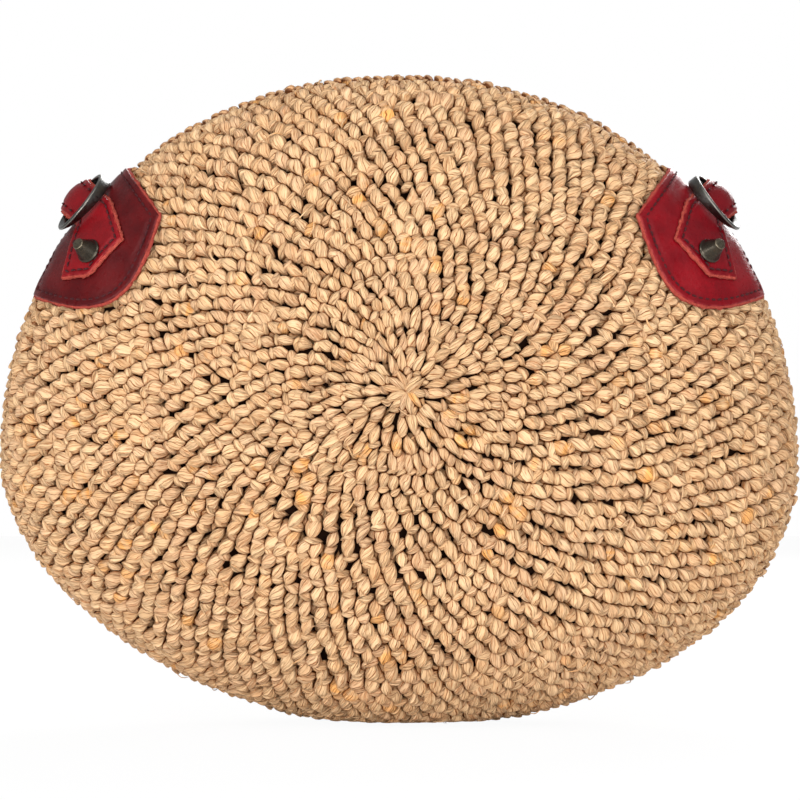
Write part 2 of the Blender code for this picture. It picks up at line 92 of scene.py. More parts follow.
@dataclass(frozen=True)
class PouchSkin:
    """The stuffed shape of the pouch, whose surface the stitches' tops touch.

    A place on it has an angle round the rim and a turn, from 0 at the rim to a
    right angle at the middle of a face.
    """

    width: float = 0.397
    depth: float = 0.160
    belly_to_top: float = 0.191
    belly_to_base: float = 0.132
    base_flat: float = 0.002
    seam_gap: float = 0.0066
    mouth_opening: float = 0.046
    mouth_start: float = math.radians(41.0)
    upper_power: float = 2.1
    lower_right_power: float = 2.03
    lower_left_power: float = 1.80
    side_full: float = 2.0
    base_full: float = 3.4
    probe: float = math.radians(0.05)

    @property
    def belly(self) -> float:
        """Height of the widest place."""
        return self.belly_to_base - self.base_flat

    def rim_radius(self, angle: Array) -> Array:
        """Distance from the belly's middle to the outline.

        Args:
            angle: Directions round the rim, in radians.

        Returns:
            The distances, in metres.
        """
        c, s = np.cos(angle), np.sin(angle)
        rise = np.where(s >= 0, self.belly_to_top, self.belly_to_base)
        lower = np.where(c >= 0, self.lower_right_power, self.lower_left_power)
        power = np.where(s >= 0, self.upper_power, lower)
        total = np.abs(c / (self.width / 2)) ** power + np.abs(s / rise) ** power
        return total ** (-1 / power)

    def half_gap(self, angle: Array) -> Array:
        """Half of the gap between the faces' rims, which opens along the mouth.

        Args:
            angle: Directions round the rim.

        Returns:
            The half gaps.
        """
        past = np.mod(angle + QUARTER, FULL) - QUARTER - self.mouth_start
        share = past / (math.pi - 2 * self.mouth_start)
        inside = (share > 0) & (share < 1)
        seam = self.seam_gap / 2
        wide = (self.mouth_opening / 2 - seam) * np.sin(math.pi * np.clip(share, 0, 1)) ** 2
        return np.where(inside, seam + wide, seam)

    def fullness(self, angle: Array) -> Array:
        """How boxy the section is: round at the sides, fuller where the bag sags."""
        sag = np.maximum(0.0, -np.sin(angle)) ** 2
        return self.side_full + (self.base_full - self.side_full) * sag

    def point(self, angle: Array, turn: Array, side: Side) -> Array:
        """Points of the skin.

        Args:
            angle: Directions round the rim.
            turn: Turns from the rim towards the middle.
            side: The face.

        Returns:
            An array of points, three numbers each.
        """
        inward = np.maximum(0.0, np.cos(turn)) ** (2 / self.fullness(angle))
        reach = self.rim_radius(angle) * inward
        gap = self.half_gap(angle)
        away = gap + (self.depth / 2 - gap) * np.sin(turn)
        up = self.belly + reach * np.sin(angle)
        return np.stack([reach * np.cos(angle), side.value * away, up], -1)

    def seen(self, x: Array, z: Array) -> tuple[Array, Array]:
        """Angle of a place seen from the front, and its share of the way to the rim.

        Args:
            x: Places across.
            z: Heights.

        Returns:
            The angles and the shares.
        """
        up = z - self.belly
        angle = np.arctan2(up, x)
        return angle, np.clip(np.hypot(x, up) / self.rim_radius(angle), 0, 1)

    def depth_at(self, x: Array, z: Array) -> Array:
        """How far the skin stands in front of the rim's plane.

        Args:
            x: Places across.
            z: Heights.

        Returns:
            Distances from the middle plane.
        """
        angle, share = self.seen(x, z)
        gap = self.half_gap(angle)
        domed = np.sqrt(np.maximum(0.0, 1 - share ** self.fullness(angle)))
        return gap + (self.depth / 2 - gap) * domed

    def turn_at(self, x: Array, z: Array) -> tuple[Array, Array]:
        """Angle and turn of a place seen from the front."""
        angle, share = self.seen(x, z)
        return angle, np.arccos(np.clip(share ** (self.fullness(angle) / 2), 0, 1))

    def normal(self, angle: Array, turn: Array, side: Side) -> Array:
        """Outward directions of the skin.

        Args:
            angle: Directions round the rim.
            turn: Turns from the rim towards the middle.
            side: The face.

        Returns:
            Unit vectors.
        """
        step = self.probe
        turn = np.minimum(turn, QUARTER - 3 * step)
        lower = np.maximum(turn - step, 0.0)
        round_rim = self.point(angle + step, turn, side) - self.point(angle - step, turn, side)
        inward = self.point(angle, turn + step, side) - self.point(angle, lower, side)
        return unit(np.cross(round_rim, inward) * -side.value)

    def lifted(self, angle: Array, turn: Array, side: Side, lift: Array | float) -> Array:
        """Points of the skin moved outward by lift.

        Args:
            angle: Directions round the rim.
            turn: Turns from the rim towards the middle.
            side: The face.
            lift: How far, in metres.

        Returns:
            The points.
        """
        lift = np.asarray(lift, float)
        if lift.ndim:
            lift = lift[..., None]
        return self.point(angle, turn, side) + self.normal(angle, turn, side) * lift


SKIN = PouchSkin()


class Shape:
    """Gathers points, faces and per-point facts of one mesh."""

    def __init__(self) -> None:
        """Starts an empty shape."""
        self.points: list[Array] = []
        self.faces: list[Array] = []
        self.facts: dict[str, list[Array]] = {}
        self.count = 0

    def add(self, points: Array, faces: Sequence[Sequence[int]], **facts: Array) -> None:
        """Adds points and the faces between them.

        Args:
            points: Points, three numbers each.
            faces: Faces, as places in points, all with the same number of corners.
            facts: A vector of three numbers for each point, for the finishes to read.
        """
        self.points.append(np.asarray(points, float).reshape(-1, 3))
        self.faces.append(np.asarray(faces, int) + self.count)
        for name, values in facts.items():
            self.facts.setdefault(name, []).append(np.asarray(values, float).reshape(-1, 3))
        self.count += len(self.points[-1])

    def build(self, name: str, finish: Material, smooth: bool = True) -> Piece:
        """Makes the object.

        Args:
            name: The piece's name.
            finish: Its material.
            smooth: Whether its faces are shaded smooth.

        Returns:
            The new object, linked to the scene.
        """
        points = np.concatenate(self.points)
        faces = [face for block in self.faces for face in block.tolist()]
        mesh = bpy.data.meshes.new(name)
        mesh.from_pydata(points.tolist(), [], faces)
        for fact, values in self.facts.items():
            layer = mesh.attributes.new(fact, "FLOAT_VECTOR", "POINT")
            layer.data.foreach_set("vector", np.concatenate(values).astype(np.float32).ravel())
        if smooth:
            mesh.shade_smooth()
        mesh.materials.append(finish)
        mesh.update()
        item = bpy.data.objects.new(name, mesh)
        bpy.context.scene.collection.objects.link(item)
        return item


def grid_faces(rows: int, columns: int, closed: bool = False, looped: bool = False) -> Array:
    """Quads of a grid of points.

    Args:
        rows: Rows of points.
        columns: Points in each row.
        closed: Whether the last column joins the first.
        looped: Whether the last row joins the first.

    Returns:
        An array of quads.
    """
    row = np.arange(rows if looped else rows - 1)[:, None]
    column = np.arange(columns if closed else columns - 1)[None, :]
    after = (column + 1) % columns
    here, above = row * columns, (row + 1) % rows * columns
    quads = np.stack([here + column, here + after, above + after, above + column], -1)
    return quads.reshape(-1, 4)


def smoothstep(values: Array) -> Array:
    """A soft step from 0 to 1."""
    clipped = np.clip(values, 0, 1)
    return clipped * clipped * (3 - 2 * clipped)


def unit(vectors: Array) -> Array:
    """Vectors with length one."""
    return vectors / np.maximum(np.linalg.norm(vectors, axis=-1, keepdims=True), TINY)


def run_along(points: Array, closed: bool = False) -> Array:
    """Measures the way along a line of points.

    Args:
        points: The line's points.
        closed: Whether the line runs back to its first point.

    Returns:
        The length up to each point, and up to the first one again if it is closed.
    """
    if closed:
        points = np.concatenate([points, points[:1]])
    gaps = np.linalg.norm(np.diff(points, axis=0), axis=-1)
    return np.concatenate([[0.0], np.cumsum(gaps)])


def at_length(wanted: Array | float, total: Array, line: Array) -> Array:
    """Points of a line at the wanted lengths along it."""
    return np.stack([np.interp(wanted, total, line[:, k]) for k in range(line.shape[1])], -1)


def turn_outward(piece: Piece, weld: float = 0.0, first: int | None = None) -> None:
    """Turns every face of a piece outward.

    Args:
        piece: The piece.
        weld: Points nearer than this are joined before, unless it is zero.
        first: How many of the first points may be joined, or all of them.
    """
    mesh = bmesh.new()
    mesh.from_mesh(piece.data)
    if weld:
        bmesh.ops.remove_doubles(mesh, verts=mesh.verts[:first], dist=weld)
    bmesh.ops.recalc_face_normals(mesh, faces=mesh.faces)
    mesh.to_mesh(piece.data)
    mesh.free()


def seat(piece: Piece, node: str, body: str = "bag") -> None:
    """Lets a piece ride on a body and stand for a node, whose part it hides, and reports it.

    Args:
        piece: The piece.
        node: The node of the frame that it replaces.
        body: The body that carries it.
    """
    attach(piece, body)
    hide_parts(node)
    triangles = len(piece.data.loops) - 2 * len(piece.data.polygons)
    LOG.info("%s: stands for %s with %d triangles", piece.name, node, triangles)


MIX_FACTOR, MIX_A, MIX_B, MIX_RESULT = 0, 6, 7, 2
ONE = {"noise_dimensions": "1D"}
SMOOTH = {"interpolation_type": "SMOOTHSTEP", "clamp": True}


class Nodes:
    """A small pen for drawing a material's nodes."""

    def __init__(self, name: str) -> None:
        """Starts a material that holds only its output and its Principled shader.

        Args:
            name: The material's name.
        """
        self.material = bpy.data.materials.new(name)
        self.material.use_nodes = True
        self.tree = self.material.node_tree
        self.shader = self.tree.nodes["Principled BSDF"]

    def node(self, kind: str, **settings: object) -> bpy.types.Node:
        """Adds a node and sets its properties.

        Args:
            kind: Its type.
            settings: Its properties.

        Returns:
            The node.
        """
        made = self.tree.nodes.new(kind)
        for key, value in settings.items():
            setattr(made, key, value)
        return made

    def put(self, socket: Socket, value: object) -> None:
        """Links a socket to an input, or sets the input's value.

        Args:
            socket: The input.
            value: A socket, a plain value or a colour of three numbers.
        """
        if isinstance(value, Socket):
            self.tree.links.new(value, socket)
        else:
            socket.default_value = (*value, 1.0) if isinstance(value, tuple) else value

    def fact(self, name: str) -> Socket:
        """The vector kept under that name on each point of a mesh."""
        return self.node("ShaderNodeAttribute", attribute_name=name).outputs["Vector"]

    def wired(self, kind: str, values: dict, **settings: object) -> bpy.types.Node:
        """Adds a node and fills its inputs.

        Args:
            kind: Its type.
            values: Sockets or plain values, by the number or name of the input.
            settings: Its properties.

        Returns:
            The node.
        """
        made = self.node(kind, **settings)
        for key, value in values.items():
            self.put(made.inputs[key], value)
        return made

    def split(self, vector: Socket) -> list[Socket]:
        """The three numbers of a vector."""
        return list(self.wired("ShaderNodeSeparateXYZ", {0: vector}).outputs)

    def join(self, x: object, y: object, z: object) -> Socket:
        """A vector from three numbers."""
        return self.wired("ShaderNodeCombineXYZ", {0: x, 1: y, 2: z}).outputs[0]

    def math(self, operation: str, a: object, b: object = 0.0) -> Socket:
        """A sum of two numbers."""
        return self.wired("ShaderNodeMath", {0: a, 1: b}, operation=operation).outputs[0]

    def times(self, a: object, b: object) -> Socket:
        """One number times another."""
        return self.math("MULTIPLY", a, b)

    def stretched(self, along: object, around: object, seed: object, stretch: Pair) -> Socket:
        """A place on a strand, stretched for streaks that run along it."""
        return self.join(self.times(along, stretch[0]), self.times(around, stretch[1]), seed)

    def noise(
        self, vector: object, scale: float, detail: float = 3.0, roughness: float = 0.55
    ) -> Socket:
        """Soft noise between 0 and 1."""
        values = {"Vector": vector, "Scale": scale, "Detail": detail, "Roughness": roughness}
        return self.wired("ShaderNodeTexNoise", values, noise_dimensions="3D").outputs["Fac"]

    def place(self) -> Socket:
        """The place on the piece, in metres."""
        return self.node("ShaderNodeTexCoord").outputs["Object"]

    def ramp(
        self, factor: object, low: float, high: float, bottom: float = 0.0, top: float = 1.0
    ) -> Socket:
        """Maps a range of numbers to another, smoothly and without leaving it."""
        values = dict(enumerate((factor, low, high, bottom, top)))
        return self.wired("ShaderNodeMapRange", values, **SMOOTH).outputs[0]

    def mix(self, factor: object, a: object, b: object) -> Socket:
        """A mix of two colours."""
        values = {MIX_FACTOR: factor, MIX_A: a, MIX_B: b}
        return self.wired("ShaderNodeMix", values, data_type="RGBA").outputs[MIX_RESULT]

    def openness(self, distance: float) -> Socket:
        """How open a point is to its surroundings within a distance: 0 in a crevice."""
        values = {"Distance": distance}
        return self.wired("ShaderNodeAmbientOcclusion", values, samples=6).outputs["AO"]

    def sorted_by(self, number: Socket) -> Socket:
        """A random tone that is the same wherever the number is."""
        return self.wired("ShaderNodeTexWhiteNoise", {"W": number}, **ONE).outputs["Value"]

    def line(self, factor: Socket, width: float) -> Socket:
        """Thin lines where soft noise passes its middle: 1 on the line, 0 beside it."""
        away = self.math("ABSOLUTE", self.math("SUBTRACT", factor, 0.5))
        return self.ramp(away, 0.0, width, 1.0, 0.0)

    def bump(self, height: object, distance: float, strength: float = 1.0) -> None:
        """Adds a layer of relief on top of what the shader has.

        Args:
            height: The relief.
            distance: Its height in metres.
            strength: Its share.
        """
        values = {"Strength": strength, "Distance": distance, "Height": height}
        made = self.wired("ShaderNodeBump", values)
        before = self.shader.inputs["Normal"].links
        if before:
            self.put(made.inputs["Normal"], before[0].from_socket)
        self.put(self.shader.inputs["Normal"], made.outputs[0])

    def set(self, **values: object) -> None:
        """Sets the shader's inputs, with underscores for the spaces in their names."""
        for key, value in values.items():
            self.put(self.shader.inputs[key.replace("_", " ")], value)


@dataclass(frozen=True)
class RaffiaFinish:
    """Dried palm strand: pale, matt and finely streaked along its length.

    It reads two facts of each point. strand holds the way along the strand, the way
    round it, and a number of its own. tint holds shade, honey and height. Low height,
    the crease lines and the crevices between legs are darkened with painted shade.
    """

    name: str
    pale: Colour = (0.765, 0.515, 0.290)
    mid: Colour = (0.695, 0.433, 0.229)
    honey: Colour = (0.84, 0.40, 0.120)
    light: Colour = (0.745, 0.555, 0.352)
    dusty: Colour = (0.66, 0.405, 0.250)
    streak: Colour = (0.41, 0.138, 0.030)
    # The next two colours are painted shade: laid in creases, in crevices between legs and on the
    # low sides of each leg.
    fold: Colour = (0.45, 0.140, 0.024)
    deep: Colour = (0.092, 0.014, 0.001)
    least_folds: float = 4.9
    more_folds: float = 3.0
    crevice: float = 0.0013
    relief: float = 1.0
    streak_stretch: Pair = (0.40, 8.5)
    hair_stretch: Pair = (0.9, 26.0)
    fold_stretch: Pair = (1.2, 2.0)
    ribbon_contrast: float = 0.80
    crease_width: float = 0.070
    split_width: float = 0.035
    seed_step: float = 7.3

    def make(self) -> Material:
        """Builds the material.

        Returns:
            The material.
        """
        pen = Nodes(self.name)
        along, around, seed = pen.split(pen.fact("strand"))
        shade, honey, height = pen.split(pen.fact("tint"))
        fibres = pen.stretched(along, around, seed, self.streak_stretch)
        fine = pen.stretched(along, around, seed, self.hair_stretch)
        streaks = pen.noise(fibres, 1.3, 3.0, 0.6)
        hairs = pen.noise(fine, 1.5, 3.0, 0.6)
        splits = pen.line(pen.noise(fine, 0.7, 2.0, 0.5), self.split_width)
        turns = self.turns(pen, along, around, seed)
        planes = pen.math("PINGPONG", turns, 0.5)
        ribbon = pen.sorted_by(pen.math("FLOOR", turns))
        off_middle = pen.math("SUBTRACT", ribbon, 0.5)
        shade = pen.math("ADD", shade, pen.times(off_middle, self.ribbon_contrast))
        patchy = pen.noise(pen.join(pen.times(along, 2.2), around, seed), 1.4, 1.0)
        # crease marks the fold valleys between a strand's ribbons; darkening them is painted
        # shade.
        crease = pen.times(
            pen.ramp(planes, 0.0, self.crease_width, 1.0, 0.0),
            pen.ramp(patchy, 0.30, 0.54, 0.2, 1.0),
        )
        sort = pen.sorted_by(seed)
        body = pen.mix(pen.ramp(shade, 0.0, 1.0), self.mid, self.pale)
        body = pen.mix(pen.ramp(sort, 0.50, 1.0, 0.0, 0.45), body, self.dusty)
        stained = pen.times(honey, pen.ramp(patchy, 0.38, 0.62, 0.35, 1.0))
        body = pen.mix(pen.ramp(stained, 0.0, 1.0, 0.0, 0.95), body, self.honey)
        body = pen.mix(pen.ramp(streaks, 0.54, 0.74, 0.0, 0.26), body, self.streak)
        body = pen.mix(pen.ramp(hairs, 0.52, 0.72, 0.0, 0.44), body, self.streak)
        body = pen.mix(pen.ramp(streaks, 0.28, 0.46, 0.4, 0.0), body, self.light)
        body = pen.mix(pen.times(splits, 0.60), body, self.streak)
        body = pen.mix(pen.times(crease, 0.92), body, self.fold)
        body = pen.mix(pen.times(crease, 0.66), body, self.deep)
        # Low height is the sides and tucked ends of each leg: painted shade there.
        body = pen.mix(pen.ramp(height, 0.34, 0.74, 0.34, 0.0), body, self.fold)
        body = pen.mix(pen.ramp(height, 0.05, 0.34, 0.85, 0.0), body, self.deep)
        # Ambient occlusion darkens the gaps between legs towards the shade colours: painted shade.
        clear = pen.openness(self.crevice)
        body = pen.mix(pen.ramp(clear, 0.46, 0.84, 0.85, 0.0), body, self.fold)
        body = pen.mix(pen.ramp(clear, 0.30, 0.68, 1.0, 0.0), body, self.deep)
        pen.set(Base_Color=body, Roughness=pen.ramp(hairs, 0.2, 0.8, 0.50, 0.74))
        pen.set(Specular_IOR_Level=0.08)
        pen.bump(planes, 0.0015 * self.relief, 1.0)
        pen.bump(streaks, 0.0010 * self.relief, 0.8)
        pen.bump(pen.math("SUBTRACT", hairs, splits), 0.0004 * self.relief, 0.8)
        return pen.material

    def turns(self, pen: Nodes, along: Socket, around: Socket, seed: Socket) -> Socket:
        """Counts the ribbons of a folded strand on the way round it: whole in each crease.

        Args:
            pen: The material's pen.
            along: The way along the strand.
            around: The way round it.
            seed: Its own number.

        Returns:
            The number's socket.
        """
        more = pen.times(pen.math("FRACT", seed), self.more_folds)
        folds = pen.math("ADD", self.least_folds, more)
        drawn = pen.stretched(along, around, seed, self.fold_stretch)
        waves = pen.times(pen.noise(drawn, 1.6, 2.0), 0.9)
        whole = pen.math("ADD", pen.times(around, folds), waves)
        return pen.math("ADD", whole, pen.times(seed, self.seed_step))


@dataclass(frozen=True)
class LeatherFinish:
    """Smooth dyed leather with fine grain, soft creases and raw cut edges.

    It reads two facts. edge holds how near the cut edge a point is, how deep it lies
    under a thread, and how much it belongs to the cut face. cloth holds the place on
    the flat piece, in metres.
    """

    name: str
    face: Colour
    dark: Colour
    worn: Colour
    raw: Colour = (0.37, 0.060, 0.042)
    raw_dark: Colour = (0.18, 0.022, 0.016)
    roughness: float = 0.25
    flat_fact: bool = True
    cloud_scale: float = 55.0
    mottle_scale: float = 260.0
    crease_scale: float = 420.0
    fray_scale: float = 900.0
    pore_scale: float = 1500.0

    def make(self) -> Material:
        """Builds the material.

        Returns:
            The material.
        """
        pen = Nodes(self.name)
        near, pressed, cut = pen.split(pen.fact("edge"))
        flat = pen.fact("cloth") if self.flat_fact else pen.place()
        clouds = pen.noise(flat, self.cloud_scale)
        mottle = pen.noise(flat, self.mottle_scale)
        body = pen.mix(pen.ramp(clouds, 0.35, 0.65, 0.30, 1.0), self.dark, self.face)
        body = pen.mix(pen.ramp(mottle, 0.45, 0.75, 0.0, 0.22), body, self.dark)
        rubbed = pen.times(near, pen.ramp(mottle, 0.35, 0.6))
        body = pen.mix(pen.ramp(rubbed, 0.35, 1.0, 0.0, 0.7), body, self.worn)
        # Darker along the stitch groove and round the thread's ends: pressed leather, with painted
        # shade in the dents where the thread dips in.
        body = pen.mix(pen.ramp(pressed, 0.2, 1.0, 0.0, 0.75), body, self.dark)
        fray = pen.noise(flat, self.fray_scale, 3.0, 0.7)
        raw = pen.mix(pen.ramp(fray, 0.40, 0.75), self.raw, self.raw_dark)
        body = pen.mix(cut, body, raw)
        rough = pen.ramp(mottle, 0.3, 0.7, self.roughness, self.roughness + 0.14)
        rough = pen.math("MAXIMUM", rough, pen.times(cut, 0.85))
        pen.set(Base_Color=body, Roughness=rough, Specular_IOR_Level=0.14)
        values = {"Vector": flat, "Scale": self.pore_scale}
        cells = pen.wired("ShaderNodeTexVoronoi", values, feature="DISTANCE_TO_EDGE")
        pen.bump(pen.ramp(cells.outputs["Distance"], 0.0, 0.35), 0.00006, 0.6)
        pen.bump(pen.noise(flat, self.crease_scale), 0.00035, 0.5)
        pen.bump(pen.times(fray, cut), 0.0009, 0.9)
        return pen.material


@dataclass(frozen=True)
class MetalFinish:
    """Antique plating: dark in the hollows, rubbed to bright metal on the edges.

    It reads one fact, wear, whose first number says how exposed a point is.
    """

    name: str
    dark: Colour
    bright: Colour
    roughness: float = 0.26
    spot_scale: float = 700.0
    cloud_scale: float = 160.0

    def make(self) -> Material:
        """Builds the material.

        Returns:
            The material.
        """
        pen = Nodes(self.name)
        exposed, _, _ = pen.split(pen.fact("wear"))
        spots = pen.noise(pen.place(), self.spot_scale, 4.0, 0.6)
        clouds = pen.noise(pen.place(), self.cloud_scale)
        rub = pen.math("ADD", exposed, pen.times(spots, 0.22))
        body = pen.mix(pen.ramp(rub, 0.62, 1.15), self.dark, self.bright)
        body = pen.mix(pen.ramp(clouds, 0.5, 0.75, 0.0, 0.12), body, self.bright)
        rough = pen.ramp(spots, 0.3, 0.7, self.roughness, self.roughness + 0.16)
        pen.set(Base_Color=body, Metallic=1.0, Roughness=rough)
        pen.bump(spots, 0.00012, 0.35)
        return pen.material


@dataclass(frozen=True)
class ClothFinish:
    """Plain woven cotton. It reads one fact, cloth, the place on the flat piece."""

    name: str
    warp: Colour
    weft: Colour
    pitch: float = 0.0009
    slub_scale: float = 260.0

    def make(self) -> Material:
        """Builds the material.

        Returns:
            The material.
        """
        pen = Nodes(self.name)
        across, along, _ = pen.split(pen.fact("cloth"))
        turns = FULL / self.pitch
        one = pen.math("SINE", pen.times(across, turns))
        two = pen.math("SINE", pen.times(along, turns))
        weave = pen.times(one, two)
        body = pen.mix(pen.ramp(weave, -0.6, 0.6), self.warp, self.weft)
        slub = pen.noise(pen.join(pen.times(across, 8.0), along, 0.0), self.slub_scale)
        body = pen.mix(pen.ramp(slub, 0.55, 0.8, 0.0, 0.5), body, self.weft)
        pen.set(Base_Color=body, Roughness=0.92, Specular_IOR_Level=0.2)
        pen.bump(weave, 0.00018, 0.6)
        return pen.material


@dataclass(frozen=True)
class ThreadFinish:
    """Waxed twisted thread. It reads strand, as raffia does."""

    name: str
    face: Colour
    dark: Colour
    plies: int = 2
    twists: float = 3.0

    def make(self) -> Material:
        """Builds the material.

        Returns:
            The material.
        """
        pen = Nodes(self.name)
        along, around, seed = pen.split(pen.fact("strand"))
        wound = pen.math("ADD", pen.times(along, self.twists), around)
        ply_relief_and_shade = pen.math("SINE", pen.times(wound, FULL * self.plies))
        # Dark in the troughs between the plies: painted shade; the same waves give the relief.
        body = pen.mix(pen.ramp(ply_relief_and_shade, -0.8, 0.6), self.dark, self.face)
        fuzz = pen.noise(pen.join(along, pen.times(around, 6.0), seed), 4.0)
        body = pen.mix(pen.ramp(fuzz, 0.55, 0.8, 0.0, 0.4), body, self.face)
        pen.set(Base_Color=body, Roughness=0.62, Specular_IOR_Level=0.18)
        pen.bump(ply_relief_and_shade, 0.00018, 0.7)
        return pen.material


@dataclass(frozen=True)
class Grain:
    """The section and outline of one plump leg of a stitch.

    A leg is a folded strand: pointed at its ends, flat underneath, with a few soft
    folds that wind along it.
    """

    stations: int = 9
    corners: int = 11
    top_span: float = math.radians(118)
    folds: int = 4
    fold_depth: float = 0.07
    bend: float = 0.30
    arch: float = 0.0
    sway: float = 0.06
    tilt: float = 0.42
    squareness: float = 0.70
    flatness: float = 0.46
    twist_mean: float = 0.5
    twist_spread: float = 0.25
    winding: float = 3.2
    streak_winding: float = 0.35
    lean_spread: float = 0.12
    uneven_spread: float = 0.05
    fold_depths: Pair = (0.5, 1.6)
    bluntness: Pair = (1.25, 2.4)
    belly_spread: float = 0.28
    plumpness: float = 0.80
    rise_power: float = 0.45
    top_sway: float = 0.10
    seed_span: float = 57.0
    # How far the leg's tucked ends are lowered in level, for painted shade there.
    tip_dark: float = 0.42
    tip_power: int = 5

    def template(self) -> tuple[Array, Array, Array]:
        """The leg's points at size one.

        Returns:
            Way along each station, way round each corner, and the faces.
        """
        beat = np.cos(math.pi * np.linspace(0.0, 1.0, self.stations))
        way = 0.5 - 0.5 * beat * (0.55 + 0.45 * np.abs(beat))
        swing = np.linspace(-self.top_span, self.top_span, self.corners)
        faces = grid_faces(self.stations, self.corners, closed=True)
        return way, swing, faces


@dataclass
class Legs:
    """Many legs of stitches at once: one row of numbers for each leg."""

    centre: Array
    along: Array
    out: Array
    length: Array
    width: Array
    height: Array
    shade: Array
    honey: Array
    lit: Array

    def pick(self, chosen: Array) -> "Legs":
        """The legs where chosen is true."""
        return Legs(**{name: value[chosen] for name, value in vars(self).items()})

    @staticmethod
    def joined(parts: Sequence["Legs"]) -> "Legs":
        """All the legs of several lots."""
        names = vars(parts[0])
        return Legs(**{name: np.concatenate([getattr(p, name) for p in parts]) for name in names})


def pressed_flat(height: Array) -> Array:
    """Heights with what would lie in the floor pressed flat on it by the bag's weight."""
    low = FLATTENED * np.exp(np.minimum(height - FLATTENED, 0.0) / FLATTENED)
    return np.where(height < FLATTENED, low, height)


def grow_legs(shape: Shape, legs: Legs, grain: Grain, seed: int) -> None:
    """Adds every leg's mesh to a shape.

    Args:
        shape: The shape to add to.
        legs: Where the legs are and how big.
        grain: Their common form.
        seed: Starts the random numbers, so that each run makes the same legs.
    """
    rng = np.random.default_rng(seed)
    count = len(legs.length)
    way, swing, faces = grain.template()
    own = rng.random((count, 1, 1))
    twist = rng.normal(grain.twist_mean, grain.twist_spread, (count, 1, 1))
    lean = rng.normal(0.0, grain.lean_spread, (count, 1, 1))
    plump = rng.normal(0.0, grain.uneven_spread, (count, 3, 1, 1))
    depth = grain.fold_depth * rng.uniform(*grain.fold_depths, (count, 1, 1))
    t = way[None, :, None]
    s = swing[None, None, :]
    sideways = unit(np.cross(legs.out, legs.along))
    blunt = rng.uniform(*grain.bluntness, (count, 1, 1))
    belly = np.exp(rng.normal(0.0, grain.belly_spread, (count, 1, 1)))
    body = np.maximum(1 - np.abs(2 * t**belly - 1) ** blunt, 0.0) ** grain.plumpness
    skew = 1 + lean * np.cos(math.pi * t)
    wound = twist * grain.winding * (t - 0.5)
    folds = 1 + depth * np.cos(grain.folds * (s + own * FULL) + wound)
    uneven = 1 + plump[:, 0] * np.cos(2 * s) + plump[:, 1] * np.sin(s)
    thick = body * skew * folds * uneven
    side = np.sign(np.sin(s)) * np.abs(np.sin(s)) ** grain.squareness * thick
    flat_top = np.sign(np.cos(s)) * np.abs(np.cos(s)) ** grain.flatness
    rise = flat_top * thick**grain.rise_power * (1 + grain.top_sway * np.sin(s + own * FULL))
    drop = grain.bend * (2 * t - 1) ** 2
    arch = grain.arch * (1 - (2 * t - 1) ** 2) * rng.uniform(0.2, 1.0, (count, 1, 1))
    curve = grain.sway * np.sin(math.pi * t) * rng.normal(0, 1, (count, 1, 1))
    x = (t - 0.5) * legs.length[:, None, None]
    y = (side * 0.5 + curve) * legs.width[:, None, None]
    z = (rise * 0.5 - drop + grain.tilt * (t - 0.5)) * legs.height[:, None, None] + arch
    points = legs.centre[:, None, None, :]
    for axis, far in ((legs.along, x), (sideways, y), (legs.out, z)):
        points = points + axis[:, None, None, :] * far[..., None]
    points[..., 2] = pressed_flat(points[..., 2])
    size = len(way) * len(swing)
    every = (faces[None] + (np.arange(count) * size)[:, None, None]).reshape(-1, 4)
    ones = np.ones((count, len(way), len(swing)))
    around = s / FULL + twist * grain.streak_winding * (t - 0.5)
    strand = np.stack([t * ones, around * ones, own * grain.seed_span * ones], -1)
    low = math.cos(grain.top_span)
    # level falls from 1 on top of the leg's section to 0 at its sides and towards its tucked ends;
    # the raffia finish turns low level into painted shade.
    tips = grain.tip_dark * np.abs(2 * t - 1) ** grain.tip_power
    level = np.clip((np.cos(s) - low) / (1 - low) - tips, 0, 1) * legs.lit[:, None, None]
    shade, honey = (tone[:, None, None] * ones for tone in (legs.shade, legs.honey))
    tint = np.stack([shade, honey, level * ones], -1)
    shape.add(points, every, strand=strand, tint=tint)


